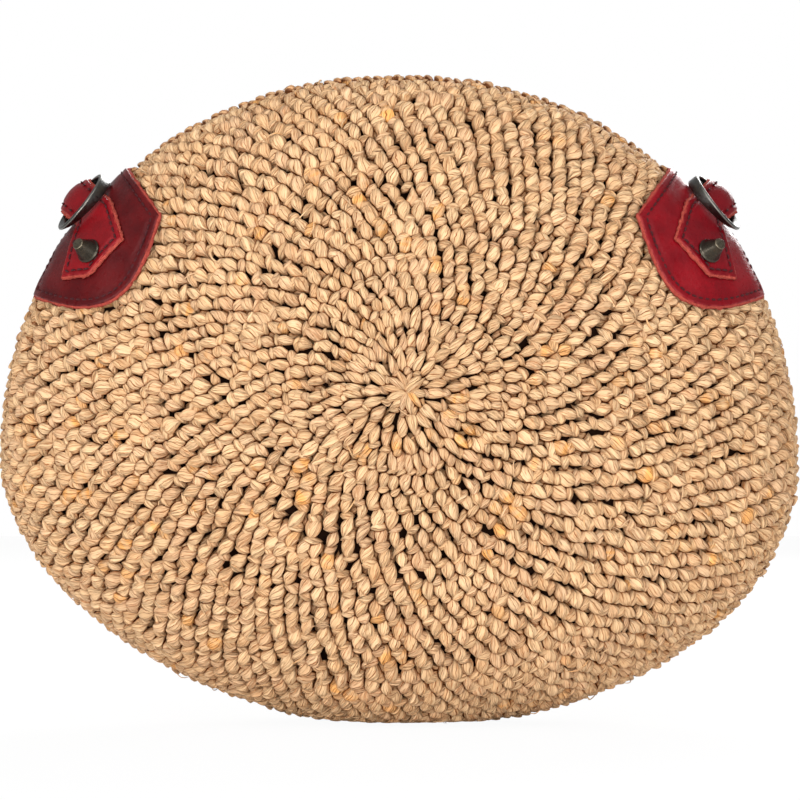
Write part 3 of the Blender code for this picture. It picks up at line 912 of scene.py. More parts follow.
@dataclass(frozen=True)
class Crochet:
    """How the raffia is worked: rounds about a centre, each stitch with two legs."""

    centre_x: float = 0.003
    centre_z: float = 0.165
    row_pitch: float = 0.0087
    stitch_pitch: float = 0.0080
    closest_share: float = 0.62
    crowding: float = 1.3
    crowded_rounds: float = 2.6
    opening: float = 0.0065
    opening_rounds: float = 5.0
    drift: float = 0.63
    sunk: float = 0.0026
    edge_room: float = 0.0085
    main_length: float = 0.0112
    main_width: float = 0.0067
    main_height: float = 0.0056
    main_slant: float = math.radians(3)
    small_length: float = 0.0088
    small_width: float = 0.0052
    small_height: float = 0.0050
    small_slant: float = math.radians(-58)
    small_depth: float = 0.0005
    main_looseness: float = 0.13
    small_looseness: float = 0.20
    bar_looseness: float = 0.2
    unevenness: float = 0.00035
    sideways_unevenness: float = 0.00028
    first_stretch: float = 1.10
    early_stretch: float = 0.12
    early_rounds: float = 4.0
    shade: Pair = (0.62, 0.24)
    edge_shade: Pair = (0.55, 0.22)
    honey_from: float = 0.915
    honey_odd: Pair = (0.25, 0.98)
    honey_plain: Pair = (0.0, 0.14)
    wave_height: float = 0.0011
    wave_rounds: int = 5
    wave_counts: tuple[int, ...] = (2, 3, 5, 7)
    bar_length: float = 0.0088
    bar_width: float = 0.0037
    bar_height: float = 0.0032
    bar_depth: float = 0.0034
    bar_slant: float = math.radians(24)
    bar_lit: float = 0.66
    bar_share: float = 0.74
    first_stitches: int = 12
    easing_rounds: int = 5
    stray_share: float = 0.045
    stray_aside: float = 0.0015
    stray_length: Pair = (0.005, 0.014)
    stray_width: Pair = (0.0004, 0.0010)
    stray_height: float = 0.00045
    edge_pitch: float = 0.0050
    edge_length: float = 0.0100
    edge_width: float = 0.0058
    edge_height: float = 0.0062
    sweep_steps: int = 720
    ray_steps: int = 160
    rim_steps: int = 1440
    rim_path_turn: float = math.radians(4.2)
    rim_pitch_share: float = 0.82
    rim_rows: tuple[Pair, ...] = ((3.6, 0.0), (8.6, 0.5))

    def pitch_at(self, level: int) -> float:
        """How far apart a round's stitches are: closer in the first rounds."""
        share = 1 - self.crowding * math.exp(-level / self.crowded_rounds)
        return self.stitch_pitch * max(share, self.closest_share)

    def round_at(self, level: int) -> float:
        """How far from the centre a round runs: the first ones lie wider apart."""
        wider = self.opening * (1 - math.exp(-level / self.opening_rounds))
        return (level + 0.62) * self.row_pitch + wider


LOT_NAMES = ("first", "second", "third", "fourth", "fifth", "sixth")
STRAY_GRAIN = Grain(
    stations=8, corners=6, fold_depth=0.0, bend=0.0, arch=0.0026, sway=1.6, tilt=0.0
)
BISECTIONS = 40


@dataclass
class Face:
    """One crocheted face of the bag: rounds in lots, a rim round and loose fibres."""

    side: Side
    work: Crochet
    seed: int

    def __post_init__(self) -> None:
        """Starts the random numbers and measures the skin."""
        self.rng = np.random.default_rng(self.seed)
        self.sweep = np.linspace(-math.pi, math.pi, self.work.sweep_steps, endpoint=False)
        self.trace_rays()

    def trace_rays(self) -> None:
        """Measures lengths over the skin along rays from the crochet's centre."""
        work = self.work
        c, s = np.cos(self.sweep), np.sin(self.sweep)
        low = np.zeros_like(self.sweep)
        high = np.full_like(self.sweep, SKIN.width)
        for _ in range(BISECTIONS):
            middle = (low + high) / 2
            x = work.centre_x + middle * c
            up = work.centre_z + middle * s - SKIN.belly
            inside = np.hypot(x, up) < SKIN.rim_radius(np.arctan2(up, x))
            low = np.where(inside, middle, low)
            high = np.where(inside, high, middle)
        share = np.sin(np.linspace(0, QUARTER, work.ray_steps))
        self.reach = low[:, None] * share[None, :]
        x = work.centre_x + self.reach * c[:, None]
        z = work.centre_z + self.reach * s[:, None]
        points = np.stack([x, SKIN.depth_at(x, z), z], -1)
        steps = np.linalg.norm(np.diff(points, axis=1), axis=-1)
        self.run = np.concatenate([np.zeros((len(low), 1)), np.cumsum(steps, axis=1)], axis=1)

    def wobble(self, level: float) -> Array:
        """Small slow waves of a round, which hand work has.

        Args:
            level: The round's number.

        Returns:
            The waves along the sweep.
        """
        work = self.work
        waves = np.zeros_like(self.sweep)
        for turns in work.wave_counts:
            phase = self.seed * 1.7 + turns * 2.1 + level * 3.3 / turns
            waves += np.sin(turns * self.sweep + phase) / turns
        return waves * work.wave_height * smoothstep(np.asarray(level / work.wave_rounds))

    def reach_at(self, length: Array) -> Array:
        """Distances from the centre, seen from the front, of one length along every ray.

        Args:
            length: One length for each ray.

        Returns:
            The distances.
        """
        rays = zip(length, self.run, self.reach)
        return np.array([np.interp(wanted, run, reach) for wanted, run, reach in rays])

    def rounds(self) -> list[tuple[int, Array, Array]]:
        """Places of the stitches of every round.

        Returns:
            For each round, its number and the x and z of its stitches.
        """
        work = self.work
        longest = self.run[:, -1].max()
        made = []
        turns = np.linspace(-math.pi, math.pi, work.first_stitches, endpoint=False)
        level = 0
        while work.round_at(level) < longest:
            length = work.round_at(level) + self.wobble(level)
            reach = self.reach_at(length)
            x = work.centre_x + reach * np.cos(self.sweep)
            z = work.centre_z + reach * np.sin(self.sweep)
            total = run_along(np.stack([x, SKIN.depth_at(x, z), z], -1), closed=True)
            turns = self.next_round(turns, total, level)
            wanted = np.interp(turns, self.sweep, length, period=FULL)
            far = np.interp(turns, self.sweep, reach, period=FULL)
            limit = np.interp(turns, self.sweep, self.run[:, -1], period=FULL)
            keep = wanted < limit - work.edge_room
            across = (work.centre_x + far * np.cos(turns))[keep]
            made.append((level, across, (work.centre_z + far * np.sin(turns))[keep]))
            level += 1
        return made

    def next_round(self, turns: Array, total: Array, level: int) -> Array:
        """Works one round into the stitches below it, with increases where they spread.

        Args:
            turns: Directions of the stitches below.
            total: Length round the new round up to each direction of the sweep.
            level: The number of the new round.

        Returns:
            Directions of the new stitches.
        """
        work, rng = self.work, self.rng
        whole = np.linspace(-math.pi, math.pi, len(total))
        wrapped = np.mod(turns + math.pi, FULL) - math.pi
        length = total[-1]
        count = max(work.first_stitches, round(length / work.pitch_at(level)))
        pitch = length / count
        drift = -self.side.value * work.drift * pitch
        at = np.sort(np.mod(np.interp(wrapped, whole, total) + drift, length))
        extra = count - len(at)
        gaps = np.diff(np.append(at, at[0] + length))
        if extra > 0:
            order = np.argsort(-(gaps * rng.uniform(0.8, 1.2, len(gaps))))
            chosen = order[: min(extra, len(order))]
            at = np.sort(np.mod(np.append(at, at[chosen] + gaps[chosen] / 2), length))
        elif extra < 0:
            at = np.delete(at, np.argsort(gaps)[: min(-extra, len(at) // 8)])
        for _ in range(work.easing_rounds):
            before = np.append(at[-1] - length, at[:-1])
            after = np.append(at[1:], at[0] + length)
            at = at + ((before + after) / 2 - at) * 0.5
        at = at + rng.normal(0, 0.02 * pitch, len(at))
        return np.interp(np.mod(at, length), total, whole)

    def legs_of(self, x: Array, z: Array, level: int) -> Legs:
        """Both legs of the stitches at these places.

        Args:
            x: Their places across.
            z: Their heights.
            level: The number of their round.

        Returns:
            The main legs and then the small legs.
        """
        work, rng, sign = self.work, self.rng, -self.side.value
        count = len(x)
        angle, turn = SKIN.turn_at(x, z)
        centre = SKIN.point(angle, turn, self.side)
        out = SKIN.normal(angle, turn, self.side)
        ray = np.stack([x - work.centre_x, np.zeros(count), z - work.centre_z], -1)
        radial = unit(ray - out * np.sum(ray * out, axis=-1, keepdims=True))
        round_way = unit(np.cross(out, radial))
        near = smoothstep(np.asarray((level - 1) / work.early_rounds))
        first = level == 0
        stretch = work.first_stretch if first else 1.0 + work.early_stretch * (1 - near)
        spread = work.pitch_at(level) / work.stitch_pitch
        narrow = 0.66 if first else 0.44 + 0.56 * spread

        def slanted(slant: float, looseness: float, weight: float) -> Array:
            """Directions of legs that slant from the way outward."""
            angles = (slant * weight * sign + rng.normal(0, looseness, count))[:, None]
            return unit(radial * np.cos(angles) + round_way * np.sin(angles))

        def sunk(depth: float, unevenness: float) -> Array:
            """The way from the skin down to the middle of the legs."""
            return out * (depth + rng.normal(0, unevenness, (count, 1)))

        size = np.exp(rng.normal(0, 0.07, count))
        shade = np.clip(rng.normal(*work.shade, count), 0, 1)
        odd = rng.random(count)
        bright, plain = (rng.uniform(*span, count) for span in (work.honey_odd, work.honey_plain))
        honey = np.where(odd > work.honey_from, bright, plain)
        jitter = radial * rng.normal(0, work.unevenness, (count, 1))
        jitter = jitter + round_way * rng.normal(0, work.sideways_unevenness, (count, 1))
        main = Legs(
            centre=centre + jitter - sunk(work.sunk, work.unevenness),
            along=slanted(work.main_slant, work.main_looseness, 0.4 + 0.6 * float(near)),
            out=out,
            length=work.main_length * size * stretch,
            width=work.main_width * np.exp(rng.normal(0, 0.09, count)) * narrow,
            height=np.full(count, work.main_height),
            shade=shade,
            honey=honey,
            lit=np.ones(count),
        )
        across = work.pitch_at(level) * work.drift * 0.5 * sign
        beside = centre + radial * (work.row_pitch * 0.5) + round_way * across
        small = Legs(
            centre=beside - sunk(work.sunk + work.small_depth, 0.0004),
            along=slanted(work.small_slant, work.small_looseness, 0.55 + 0.45 * float(near)),
            out=out,
            length=work.small_length * np.exp(rng.normal(0, 0.10, count)) * (0.8 + 0.2 * near),
            width=work.small_width * np.exp(rng.normal(0, 0.12, count)) * narrow,
            height=np.full(count, work.small_height),
            shade=np.clip(shade + rng.normal(-0.08, 0.15, count), 0, 1),
            honey=np.where(rng.random(count) > 0.97, 0.7, honey * 0.5),
            lit=np.ones(count),
        )
        between = centre + round_way * (work.pitch_at(level) * 0.5 * sign)
        between = between - radial * (work.row_pitch * 0.1)
        # Bars lie deep in the work: their darker tone and lower lit give them painted shade.
        bar = Legs(
            centre=between - sunk(work.sunk + work.bar_depth, 0.0005),
            along=slanted(work.bar_slant, work.bar_looseness, 1.0),
            out=out,
            length=np.full(count, work.bar_length),
            width=work.bar_width * np.exp(rng.normal(0, 0.15, count)),
            height=np.full(count, work.bar_height),
            shade=np.clip(shade - 0.6, 0, 1),
            honey=honey * 0.5,
            lit=np.full(count, work.bar_lit),
        ).pick(rng.random(count) < work.bar_share * spread)
        return Legs.joined([main, small, bar])

    def rim_round(self) -> Legs:
        """The last round, which runs along the rim and covers the cut rounds' ends.

        Returns:
            The legs of its two rows.
        """
        work, rng = self.work, self.rng
        ring = np.linspace(0, FULL, work.rim_steps, endpoint=False)
        turn = np.full_like(ring, work.rim_path_turn)
        total = run_along(SKIN.point(ring, turn, self.side), closed=True)
        count = round(total[-1] / (work.stitch_pitch * work.rim_pitch_share))
        parts = []
        for rim_turn, phase in work.rim_rows:
            ticks = np.mod((np.arange(count) + phase) / count * total[-1], total[-1])
            angle = np.interp(ticks, total, np.linspace(0, FULL, len(total)))
            turns = np.full(count, math.radians(rim_turn))
            centre = SKIN.point(angle, turns, self.side)
            out = SKIN.normal(angle, turns, self.side)
            step = SKIN.point(angle, turns + 0.01, self.side) - centre
            inward = unit(step - out * np.sum(step * out, axis=-1, keepdims=True))
            round_way = unit(np.cross(out, inward))
            angles = rng.normal(0.05, 0.12, count)[:, None]
            shade = np.clip(rng.normal(*work.edge_shade, count), 0, 1)
            parts.append(
                Legs(
                    centre=centre - out * (work.sunk + 0.0002),
                    along=unit(inward * np.cos(angles) + round_way * np.sin(angles)),
                    out=out,
                    length=np.full(count, work.main_length * 0.9) * rng.uniform(0.93, 1.07, count),
                    width=work.main_width * rng.uniform(0.84, 1.00, count),
                    height=np.full(count, work.main_height),
                    shade=shade,
                    honey=np.where(rng.random(count) > 0.95, 0.8, 0.05),
                    lit=np.ones(count),
                )
            )
        return Legs.joined(parts)

    def strays(self, legs: Legs) -> Legs:
        """Thin loose fibres that have lifted from some of the legs.

        Args:
            legs: The legs that they lift from.

        Returns:
            The fibres.
        """
        rng = self.rng
        chosen = legs.pick(rng.random(len(legs.length)) < self.work.stray_share)
        count = len(chosen.length)
        aside = unit(np.cross(chosen.out, chosen.along))
        angles = rng.normal(0, 0.6, count)[:, None]
        top = chosen.centre + chosen.out * chosen.height[:, None] * 0.47
        return Legs(
            centre=top + aside * rng.normal(0, self.work.stray_aside, (count, 1)),
            along=unit(chosen.along * np.cos(angles) + aside * np.sin(angles)),
            out=chosen.out,
            length=rng.uniform(*self.work.stray_length, count),
            width=rng.uniform(*self.work.stray_width, count),
            height=np.full(count, self.work.stray_height),
            shade=rng.uniform(0.7, 1.0, count),
            honey=np.where(rng.random(count) > 0.8, 0.5, 0.05),
            lit=np.full(count, 3.0),
        )

    def build(
        self, finish: Material, loose: Material, under_leather: Callable[[Array], Array]
    ) -> list[Piece]:
        """Builds the face's pieces.

        Args:
            finish: The raffia.
            loose: The raffia of fibres that have come loose.
            under_leather: Says for points how deep they must sink under a leather tab.

        Returns:
            The pieces: the rounds in lots from the centre outward, and the loose fibres.
        """
        worked = [self.legs_of(x, z, level) for level, x, z in self.rounds() if len(x)]
        ends = np.cumsum([len(legs.length) for legs in worked])
        lots: dict[str, list[Legs]] = {name: [] for name in LOT_NAMES}
        for legs, end in zip(worked, ends):
            lot = (end - 1) * len(LOT_NAMES) // ends[-1]
            lots[LOT_NAMES[lot]].append(legs)
        lots["rim"] = [self.rim_round()]
        pieces = []
        fibres = Shape()
        word = self.side.word
        for number, (name, parts) in enumerate(lots.items()):
            legs = Legs.joined(parts)
            pressed = under_leather(legs.centre)
            legs.centre = legs.centre - legs.out * pressed[:, None]
            shape = Shape()
            grow_legs(shape, legs, Grain(), self.seed * 10 + number)
            strays = self.strays(legs.pick(pressed == 0))
            grow_legs(fibres, strays, STRAY_GRAIN, self.seed * 20 + number)
            pieces.append(shape.build(f"{word}_raffia_{name}_rounds", finish))
        pieces.append(fibres.build(f"{word}_loose_fibres", loose))
        for piece in pieces:
            seat(piece, f"{word}_panel")
        return pieces


@dataclass
class EdgeRows:
    """The stitches that close the seam and those that bind the mouth's two edges."""

    work: Crochet
    seed: int
    path_steps: int = 1200
    probe: float = 0.004
    seam_lean: float = 0.45
    seam_slant: Pair = (0.80, 0.60)
    seam_sunk: float = 0.0022
    mouth_sunk: float = 0.0034
    mouth_overlap: float = math.radians(1.0)
    mouth_rows: tuple[tuple[float, float, float], ...] = ((0.9, 0.0006, 0.5), (2.6, 0.0046, -0.5))
    back_drop: float = 0.0018

    def __post_init__(self) -> None:
        """Starts the random numbers."""
        self.rng = np.random.default_rng(self.seed)

    def places(self, first: float, last: float, side: Side) -> tuple[Array, ...]:
        """Even places along the rim.

        Args:
            first: The angle of the first place.
            last: The angle of the last place.
            side: The face whose rim is followed.

        Returns:
            Points, outward directions and directions along the rim.
        """
        ring = np.linspace(first, last, self.path_steps)
        total = run_along(SKIN.point(ring, np.zeros_like(ring), side))
        count = round(total[-1] / self.work.edge_pitch)
        angle = np.interp((np.arange(count) + 0.5) / count * total[-1], total, ring)
        zero = np.zeros(count)
        spot = SKIN.point(angle, zero, side)
        ahead, behind = angle + self.probe, angle - self.probe
        forward = unit(SKIN.point(ahead, zero, side) - SKIN.point(behind, zero, side))
        out = unit(np.cross(forward, SIDEWAYS))
        radial = spot - np.array([0.0, 0.0, SKIN.belly])
        out = out * np.sign(np.sum(out * radial, axis=-1, keepdims=True))
        return spot, out, forward

    def legs(self, spot: Array, out: Array, along: Array, sunk: float) -> Legs:
        """Legs of one size at these places.

        Args:
            spot: Where the row runs.
            out: Outward directions.
            along: The legs' ways.
            sunk: How far they lie inside.

        Returns:
            The legs.
        """
        work, rng = self.work, self.rng
        count = len(spot)
        return Legs(
            centre=spot - out * (sunk + rng.normal(0, 0.00025, (count, 1))),
            along=unit(along + rng.normal(0, 0.08, (count, 3))),
            out=out,
            length=work.edge_length * rng.uniform(0.93, 1.08, count),
            width=work.edge_width * rng.uniform(0.9, 1.1, count),
            height=np.full(count, work.edge_height),
            shade=np.clip(rng.normal(*work.edge_shade, count), 0, 1),
            honey=np.where(rng.random(count) > 0.94, 0.75, 0.08),
            lit=np.ones(count),
        )

    def finish_piece(
        self, name: str, parts: list[Legs], finish: Material, node: str
    ) -> Piece:
        """Grows the legs of a row and lets the piece stand for its node.

        Args:
            name: The piece's name.
            parts: Its legs.
            finish: Its material.
            node: The node that it replaces.

        Returns:
            The new piece.
        """
        shape = Shape()
        grow_legs(shape, Legs.joined(parts), Grain(), self.seed)
        piece = shape.build(name, finish)
        seat(piece, node)
        return piece

    def seam(self, finish: Material) -> Piece:
        """Pairs of slanted legs that lace the two faces together round the bottom.

        Args:
            finish: Its material.

        Returns:
            The new piece.
        """
        start = SKIN.mouth_start
        spot, out, forward = self.places(-math.pi - start, start, Side.FRONT)
        spot[:, 1] = 0.0
        parts = []
        for sign in (1.0, -1.0):
            across = SIDEWAYS * sign
            tilted = unit(out + across * self.seam_lean)
            along = unit(across * self.seam_slant[0] + forward * self.seam_slant[1])
            moved = spot + across * self.seam_sunk
            parts.append(self.legs(moved, tilted, along, self.seam_sunk))
        return self.finish_piece("joining_plait", parts, finish, "joining_row")

    def mouth(self, side: Side, finish: Material) -> Piece:
        """Two rounds of legs that wrap over one edge of the mouth.

        Args:
            side: The face.
            finish: Its material.

        Returns:
            The new piece.
        """
        start = SKIN.mouth_start - self.mouth_overlap
        spot, out, forward = self.places(start, math.pi - start, side)
        inward = SIDEWAYS * -side.value
        parts = []
        lower = self.back_drop if side is Side.BACK else 0.0
        for lean, drop, slant in self.mouth_rows:
            tilted = unit(out + inward * lean)
            along = unit(np.cross(tilted, forward) + forward * slant)
            moved = spot - out * (drop + lower)
            parts.append(self.legs(moved, tilted, along, self.mouth_sunk))
        word = side.word
        name, node, slot = f"{word}_mouth_edge", f"{word}_panel", f"raffia_{word}"
        return self.finish_piece(name, parts, finish, node)


@dataclass(frozen=True)
class Lining:
    """The sewn cotton pouch inside the crochet, hemmed at the mouth."""

    depth: float = 0.0083
    cloth: float = 0.0007
    hem_drop: float = math.radians(4.0)
    hem_width: float = 0.010
    around: int = 300
    levels: int = 46
    ripple: float = 0.0007
    cut_width: float = 0.470
    cut_length: float = 0.800
    stitch: float = 0.0042
    thread_width: float = 0.00055
    thread_depth: float = 0.0018
    round_length: float = 0.19
    turn_length: float = 0.17
    opening_width: float = 0.004
    shut_turn: float = math.radians(9)
    crowding: float = 1.25
    hem_inset: float = math.radians(3.0)
    hem_steps: int = 180
    weld: float = 1e-5

    def spot(self, angle: Array, turn: Array, side: Side, inward: float) -> Array:
        """Points of the lining.

        Args:
            angle: Directions round the rim.
            turn: Turns from the rim, before the hem's drop.
            side: The face it lies behind.
            inward: How far inside the outer cloth face.

        Returns:
            The points.
        """
        gap = SKIN.half_gap(angle)
        opened = smoothstep((gap - SKIN.seam_gap / 2) / self.opening_width)
        turned = turn + self.hem_drop * opened * (1 - turn / QUARTER)
        folds = np.sin(angle * 23 + 1.7) * np.sin(turn * 9 + angle * 3)
        pull = self.ripple * (1 + folds) * np.sin(np.clip(turn * 2, 0, math.pi)) ** 2
        points = SKIN.lifted(angle, turned, side, -(self.depth + inward) - pull)
        shut = (1 - opened) * (1 - smoothstep(turn / self.shut_turn))
        points[..., 1] = points[..., 1] * (1 - shut)
        return points

    def grids(self) -> tuple[Array, Array]:
        """Angles and turns of the cloth's grid.

        Returns:
            Two grids of numbers.
        """
        angle = np.linspace(0, FULL, self.around, endpoint=False)
        turn = QUARTER * np.linspace(0, 1, self.levels) ** self.crowding
        return np.meshgrid(angle, turn)

    def build(self, finish: Material) -> tuple[Piece, float]:
        """Builds the pouch of cloth and measures it.

        Args:
            finish: Its material.

        Returns:
            The piece and its area in square metres.
        """
        angle, turn = self.grids()
        shape = Shape()
        faces = grid_faces(self.levels, self.around, closed=True)
        cloth = np.stack([angle * self.round_length, turn * self.turn_length, 0 * turn], -1)
        area = 0.0
        for side in Side:
            for inward, flip in ((0.0, False), (self.cloth, True)):
                points = self.spot(angle, turn, side, inward)
                wound = flip == (side is Side.FRONT)
                shape.add(points, faces[:, ::-1] if wound else faces, cloth=cloth)
                if not flip:
                    a, b, c, d = (points.reshape(-1, 3)[faces[:, k]] for k in range(4))
                    halves = (np.cross(b - a, c - a), np.cross(c - a, d - a))
                    one, two = (np.linalg.norm(half, axis=1) for half in halves)
                    area += (one + two).sum() / 2
        size = self.levels * self.around
        mouth = np.flatnonzero(SKIN.half_gap(angle[0]) > SKIN.seam_gap / 2 + self.weld)
        step = np.arange(mouth[0] - 1, mouth[-1] + 1)
        for first in (0, 2 * size):
            wall = np.stack([step, step + 1, step + 1 + size, step + size], -1) + first
            shape.faces.append(wall)
        piece = shape.build("cotton_lining", finish)
        turn_outward(piece, self.weld)
        seat(piece, "lining")
        LOG.info("%s: %.3f square metres of cloth", piece.name, area)
        return piece, area

    def hem(self, finish: Material, thread: Material) -> list[Piece]:
        """Builds the turned-in hem at the mouth, and its stitches.

        Args:
            finish: The cloth.
            thread: The thread.

        Returns:
            The hem and its stitches.
        """
        start = SKIN.mouth_start + self.hem_inset
        angle = np.linspace(start, math.pi - start, self.hem_steps)
        hem, sewing = Shape(), Shape()
        bead = Bead(self.stitch * 0.62, self.thread_width)
        down = np.linspace(0.0, 1.0, 5)
        for side in Side:
            grid, share = np.meshgrid(angle, down)
            turn = share * self.hem_width / self.turn_length
            near = self.spot(grid, turn, side, self.cloth + 0.0003)
            far = self.spot(grid, turn, side, 2 * self.cloth + 0.0003)
            ring = np.concatenate([near, far[::-1]])
            cloth = np.stack([grid * self.round_length, share * self.hem_width, 0 * share], -1)
            cloth = np.concatenate([cloth, cloth[::-1]])
            hem.add(ring, grid_faces(len(ring), len(angle), looped=True), cloth=cloth)
            low = np.full_like(angle, turn.max() * 0.8)
            line = self.spot(angle, low, side, self.thread_depth)
            total = run_along(line)
            for number, at in enumerate(np.arange(self.stitch, total[-1], self.stitch)):
                spot = at_length(at, total, line)
                way = at_length(at + 0.001, total, line) - spot
                bead.add_to(sewing, spot, way, SIDEWAYS * -float(side.value), number)
        made = [hem.build("lining_hem", finish), sewing.build("lining_hem_stitches", thread)]
        for piece in made:
            seat(piece, "lining")
        return made

    def sew_in(self, finish: Material, thread: Material) -> None:
        """Args:
            finish: The cloth.
            thread: The thread.
        """
        piece, area = self.build(finish)
        hem = self.hem(finish, thread)


@dataclass(frozen=True)
class TabPlan:
    """Sizes of a leather tab.

    Along runs down the rim from the tab's middle, across runs over the rim from its
    crest. Both are measured over the skin.
    """

    angle: float = math.radians(40.5)
    patch_neck: Pair = (-0.0235, 0.0210)
    patch_upper_tip: Pair = (-0.0175, 0.0558)
    patch_lower_tip: Pair = (0.0550, 0.0130)
    patch_pull: Pair = (0.0490, 0.0965)
    patch_flare: float = 1.5
    strap_neck: Pair = (-0.0054, 0.0132)
    strap_upper_tip: Pair = (0.0050, 0.0510)
    strap_lower_tip: Pair = (0.0392, 0.0340)
    strap_point: Pair = (0.0298, 0.0480)
    strap_flare: float = 1.2
    strap_neck_share: float = 0.55
    thickness: float = 0.002
    leather_gap: float = 0.0005
    seat_gap: float = 0.0003
    tunnel: float = 0.0098
    loop_reach: float = 0.0175
    loop_crown: float = 0.0022
    stud_along: float = 0.0205
    stud_across: float = 0.0408
    skin_steps: int = 400

    @property
    def patch_top(self) -> float:
        """Height of the patch's face over the skin."""
        return self.leather_gap + self.thickness

    @property
    def strap_seat(self) -> float:
        """Height of the strap's underside over the skin."""
        return self.patch_top + self.seat_gap

    @property
    def strap_top(self) -> float:
        """Height of the strap's face over the skin."""
        return self.strap_seat + self.thickness

    @property
    def hinge_lift(self) -> float:
        """Height of the ring's hinge over the skin."""
        return self.patch_top + self.tunnel / 2


PLAN = TabPlan()


@dataclass
class TabPlace:
    """Finds points of the bag from places on a flat tab."""

    hand: Hand
    plan: TabPlan = PLAN

    def __post_init__(self) -> None:
        """Measures the way over the skin beside the tab's middle."""
        self.radius = float(SKIN.rim_radius(np.asarray(self.plan.angle)))
        self.gap = SKIN.seam_gap / 2
        self.turns = np.linspace(0, QUARTER, self.plan.skin_steps)
        middle = (self.turns[1:] + self.turns[:-1]) / 2
        deep = SKIN.depth / 2 - self.gap
        steps = np.hypot(self.radius * np.sin(middle), deep * np.cos(middle))
        self.run = np.concatenate([[0.0], np.cumsum(steps * np.diff(self.turns))])

    def parts(self, along: Array, across: Array) -> tuple[Array, Array, Array]:
        """Angle, turn and place over the slit, from distances on the skin.

        Args:
            along: Distances down the rim.
            across: Distances over the rim, above zero at the front.

        Returns:
            Three arrays.
        """
        far = np.abs(across)
        slit = np.minimum(far, self.gap)
        turn = np.interp(far - slit, self.run, self.turns)
        angle = self.plan.angle - along / (self.radius * (1 + np.cos(turn)) / 2)
        if self.hand is Hand.LEFT:
            angle = math.pi - angle
        return angle, turn, slit / self.gap

    def surface(self, along: Array, across: Array) -> tuple[Array, Array]:
        """Points of the skin and outward directions there.

        Args:
            along: Distances down the rim.
            across: Distances over the rim, above zero at the front.

        Returns:
            Points and directions.
        """
        along, across = np.broadcast_arrays(np.asarray(along, float), np.asarray(across, float))
        angle, turn, slit = self.parts(along, across)
        spots = np.empty(along.shape + (3,))
        outs = np.empty(along.shape + (3,))
        for side in Side:
            chosen = across >= 0 if side is Side.FRONT else across < 0
            spots[chosen] = SKIN.point(angle[chosen], turn[chosen], side)
            outs[chosen] = SKIN.normal(angle[chosen], turn[chosen], side)
            flat = chosen & (turn <= 0)
            spots[flat, 1] = side.value * (slit * SKIN.half_gap(angle))[flat]
        return spots, outs

    def placing(self, along: float, across: float, lift: float) -> Matrix:
        """A placing whose Z axis points outward from the skin.

        Args:
            along: Distance down the rim.
            across: Distance over the rim.
            lift: Height over the skin.

        Returns:
            The placing.
        """
        spot, out = self.surface(np.array([along]), np.array([across]))
        normal = Vector(out[0])
        sideways = Vector((0, 1, 0)).cross(normal).normalized()
        turned = Matrix((sideways, normal.cross(sideways), normal)).transposed().to_4x4()
        return Matrix.Translation(Vector(spot[0]) + normal * lift) @ turned


def bezier(first: Pair, pull: Pair, last: Pair, share: Array) -> Array:
    """Points on a curve from first to last that is drawn towards pull.

    Args:
        first: Its start.
        pull: What draws it.
        last: Its end.
        share: Shares from 0 to 1.

    Returns:
        The points.
    """
    t = share[..., None]
    a, b, c = (np.array(p) for p in (first, pull, last))
    return (1 - t) ** 2 * a + 2 * (1 - t) * t * b + t**2 * c


@dataclass(frozen=True)
class Cut:
    """The outline of a leather piece on the flat, for half of its length.

    neck says where its two edges cross the rim, and end is the curve of its end, from
    the upper tip to the lower tip. flare says how slowly it opens from neck to tips,
    and neck_share is the share of its half length that keeps the neck's width.
    """

    neck: Pair
    end: Callable[[Array], Array]
    flare: float
    neck_share: float = 0.0

    def flat(self, part: Array, share: Array) -> tuple[Array, Array]:
        """Places on the flat piece.

        Args:
            part: From 0 on the upper edge to 1 on the lower edge.
            share: From 0 at the rim to 1 at the front end, and to -1 at the back end.

        Returns:
            Along and across.
        """
        part, share = np.broadcast_arrays(part, share)
        end = self.end(part)
        neck = self.neck[0] + (self.neck[1] - self.neck[0]) * part
        opening = np.maximum(0.0, np.abs(share) - self.neck_share) / (1 - self.neck_share)
        along = neck + (end[..., 0] - neck) * opening**self.flare
        return along, end[..., 1] * share

    def outline(self, steps: int = 160) -> Array:
        """The front half's edge, from the rim round the end and back to the rim.

        Args:
            steps: Points on each side.

        Returns:
            The points.
        """
        ramp = np.linspace(0, 1, steps)
        one = np.ones(steps)
        sides = [self.flat(0 * one, ramp), self.flat(ramp, one), self.flat(one, ramp[::-1])]
        return np.concatenate([np.stack(side, -1) for side in sides])


BLOCK = 2000
LEAST = 1e-18


def distance_to(points: Array, line: Array) -> Array:
    """Distances on the flat from points to a line through many points.

    Args:
        points: The points.
        line: The line's points.

    Returns:
        The distances.
    """
    flat = points.reshape(-1, 2)
    away = np.full(len(flat), np.inf)
    start, step = line[:-1], np.diff(line, axis=0)
    length = np.maximum((step**2).sum(-1), LEAST)
    for first in range(0, len(flat), BLOCK):
        block = flat[first : first + BLOCK, None, :] - start[None]
        share = np.clip((block * step[None]).sum(-1) / length, 0, 1)
        gaps = np.linalg.norm(block - share[..., None] * step[None], axis=-1)
        away[first : first + BLOCK] = gaps.min(axis=1)
    return away.reshape(points.shape[:-1])


def seam_line(edge: Array, inset: float) -> Array:
    """The line of a row of thread that keeps a distance inside an edge.

    Args:
        edge: The edge's points, from the rim round the end and back.
        inset: The distance.

    Returns:
        The line's points.
    """
    step = np.gradient(edge, axis=0)
    side = unit(np.stack([-step[:, 1], step[:, 0]], -1))
    area = np.sum(edge[:, 0] * step[:, 1] - edge[:, 1] * step[:, 0])
    moved = edge + side * math.copysign(inset, area)
    keep = (distance_to(moved, edge) > inset * 0.97) & (moved[:, 1] > -0.0005)
    return moved[keep]


